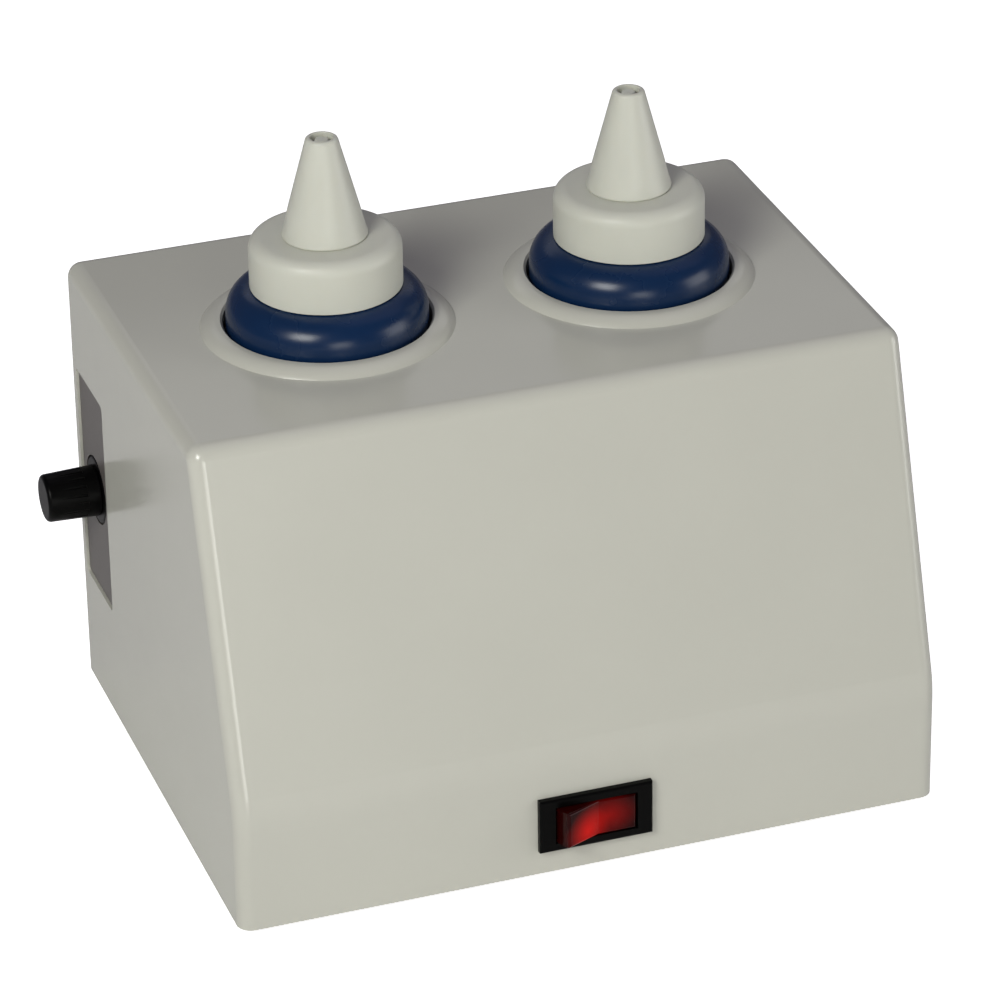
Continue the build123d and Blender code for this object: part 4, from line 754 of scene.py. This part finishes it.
class WARMER_OT_switch(bpy.types.Operator):
    """Finishes the switch, the fuse holder and the inlet, and lights the rocker"""

    bl_idname = "warmer.switch"
    bl_label = "Switch"

    def execute(self, context):
        # Black nylon: very dark, with a fine grain and hardly any shine.
        nylon = moulded(
            "moulded_black_nylon", "#060606", "#030303", roughness=0.34, grain_mm=0.9, depth_mm=0.012,
            extra={"Specular IOR Level": 0.07},
        )
        dress(nylon, "switch_body", "fuse_holder_body", "fuse_holder_nut", "fuse_cap", "inlet_body")
        # Red polycarbonate: almost black where it is unlit, and a deep glowing red over the lamp.
        low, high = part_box("rocker")
        middle = (low + high) / 2
        colour = context.scene.warmer_colours.lens
        lens = lit_lens("red_polycarbonate_lens", colour, "#F01004", middle, LAMP_GLOWS)
        dress(lens, "rocker")
        # Soda-lime glass: clear and sharp, with a little ripple from drawing.
        glass = clear_glass("clear_soda_lime_glass", "#F2F4F0")
        dress(glass, "switch_lamp", "fuse_glass")
        return {"FINISHED"}


class WARMER_OT_wiring(bpy.types.Operator):
    """Finishes the plated contacts, the terminal block and the wires"""

    bl_idname = "warmer.wiring"
    bl_label = "Wiring"

    def execute(self, context):
        # Nickel plate: bright and a little warm.
        nickel = metal("nickel_plated_brass", "#D6D3CC", "#C2BEB2", roughness=0.22)
        dress(nickel, "inlet_pins", "earth_tag", "fuse_end_caps", "fuse_spring", "fuse_element")
        # Ivory nylon: creamy, with a fine grain and a soft shine.
        ivory = moulded(
            "moulded_ivory_nylon", "#E1DCCB", "#D5CFBC", roughness=0.5, grain_mm=0.9, depth_mm=0.012
        )
        dress(ivory, "terminal_block")
        # Extruded insulation: PVC is smooth with a soft shine, and silicone rubber is duller.
        insulation = (
            ("extruded_pvc_brown", "#5A3120", "#4C2819", 0.38, "wires_live"),
            ("extruded_pvc_blue", "#2C5FB0", "#24529B", 0.38, "wires_neutral"),
            ("extruded_silicone_white", "#E0DFD9", "#D2D1CA", 0.5, "heater_leads"),
        )
        for name, colour, shade, roughness, wires in insulation:
            dress(moulded(name, colour, shade, roughness, grain_mm=1.5, depth_mm=0.01), wires)
        # Earth wire: green with yellow stripes.
        dress(striped_wire("extruded_pvc_green_yellow", "#2F8A3A", "#E6CF2A"), "wire_earth")
        return {"FINISHED"}


# ---------------------------------------------------------------- stage
def area_light(name, place, aim, size, strength, colour):
    """A soft box. Its strength is the brightness of its face, so a larger one gives more light."""
    data = bpy.data.lights.new(name, "AREA")
    data.shape = "RECTANGLE"
    data.size, data.size_y = size
    data.energy = strength * math.pi * size[0] * size[1]
    data.color = linear(colour)[:3]
    light = bpy.data.objects.new(name, data)
    bpy.context.scene.collection.objects.link(light)
    light.location = place
    light.rotation_mode = "QUATERNION"
    light.rotation_quaternion = (Vector(place) - Vector(aim)).to_track_quat("Z", "Y")
    light.visible_camera = False


def set_camera(scene, stage):
    """A camera that looks at its aim from an azimuth and a height angle, leaning by its roll."""
    azimuth, elevation, roll = stage.azimuth, stage.elevation, stage.roll
    back = Vector(
        (
            math.sin(azimuth) * math.cos(elevation),
            -math.cos(azimuth) * math.cos(elevation),
            math.sin(elevation),
        )
    )
    right = Vector((math.cos(azimuth), math.sin(azimuth), 0))
    up = back.cross(right)
    across = right * math.cos(roll) + up * math.sin(roll)
    upwards = up * math.cos(roll) - right * math.sin(roll)
    turn = Matrix((across, upwards, back)).transposed().to_4x4()
    data = bpy.data.cameras.new("camera")
    data.lens, data.sensor_width = stage.lens, SENSOR_WIDTH
    data.clip_start, data.clip_end = CAMERA_NEAR, CAMERA_FAR
    camera = bpy.data.objects.new("camera", data)
    scene.collection.objects.link(camera)
    aim = HOUSING_MIDDLE + Vector(stage.aim)
    camera.matrix_world = Matrix.Translation(aim + back * stage.distance) @ turn
    scene.camera = camera


def add_floor(colour):
    """A wide, matt floor that shows white to the camera and only reflects to the object."""
    deselect()
    bpy.ops.mesh.primitive_plane_add(size=FLOOR_SIZE, location=(0, 0, 0))
    floor = bpy.context.object
    floor.name = "studio_floor"
    material, tree = start_material("matt_white_floor")
    rays = node(tree, "ShaderNodeLightPath")
    shine = node(
        tree, "ShaderNodeMapRange", {"Value": rays.outputs["Is Camera Ray"], "To Min": 0.0, "To Max": 1.0}
    )
    tint = linear(colour)
    end_material(
        tree,
        {
            "Base Color": tint,
            "Roughness": 0.9,
            "Emission Color": tint,
            "Emission Strength": shine.outputs["Result"],
        },
    )
    floor.data.materials.append(material)


class WARMER_OT_stage(bpy.types.Operator):
    """Sets the camera, a plain pale floor and soft studio light"""

    bl_idname = "warmer.stage"
    bl_label = "Stage"

    def execute(self, context):
        scene = context.scene
        set_camera(scene, scene.warmer_stage)
        add_floor(scene.warmer_colours.floor)

        world = bpy.data.worlds.new("studio_air")
        scene.world = world
        world.use_nodes = True
        air = world.node_tree.nodes["Background"]
        air.inputs["Color"].default_value = linear(scene.warmer_colours.air)
        air.inputs["Strength"].default_value = scene.warmer_stage.air_strength

        for name, (place, aim, face, strength, colour) in SOFT_BOXES.items():
            area_light(name, place, aim or HOUSING_MIDDLE, face, strength, colour)
        scene.view_settings.view_transform = "Standard"
        return {"FINISHED"}


# ---------------------------------------------------------------- add-on
class WARMER_PT_panel(bpy.types.Panel):
    """Lists the steps that finish the warmer"""

    bl_idname = "WARMER_PT_panel"
    bl_label = "Bottle warmer"
    bl_space_type = "VIEW_3D"
    bl_region_type = "UI"
    bl_category = "Warmer"

    def draw(self, context):
        column = self.layout.column(align=True)
        for step in STEPS:
            column.operator(step.bl_idname)


GROUPS = {
    "warmer_colours": WarmerColours,
    "warmer_bottle": WarmerBottle,
    "warmer_spout": WarmerSpout,
    "warmer_stage": WarmerStage,
}
STEPS = (
    WARMER_OT_housing,
    WARMER_OT_wells,
    WARMER_OT_bottles,
    WARMER_OT_switch,
    WARMER_OT_wiring,
    WARMER_OT_stage,
)


def register():
    for made in (*GROUPS.values(), *STEPS, WARMER_PT_panel):
        bpy.utils.register_class(made)
    for name, group in GROUPS.items():
        setattr(bpy.types.Scene, name, bpy.props.PointerProperty(type=group))


def unregister():
    for name in reversed(GROUPS):
        delattr(bpy.types.Scene, name)
    for made in reversed((*GROUPS.values(), *STEPS, WARMER_PT_panel)):
        bpy.utils.unregister_class(made)


def main():
    register()
    bpy.ops.warmer.housing()
    bpy.ops.warmer.wells()
    bpy.ops.warmer.bottles()
    bpy.ops.warmer.switch()
    bpy.ops.warmer.wiring()
    bpy.ops.warmer.stage()
    deselect()


if __name__ == "__main__":
    main()
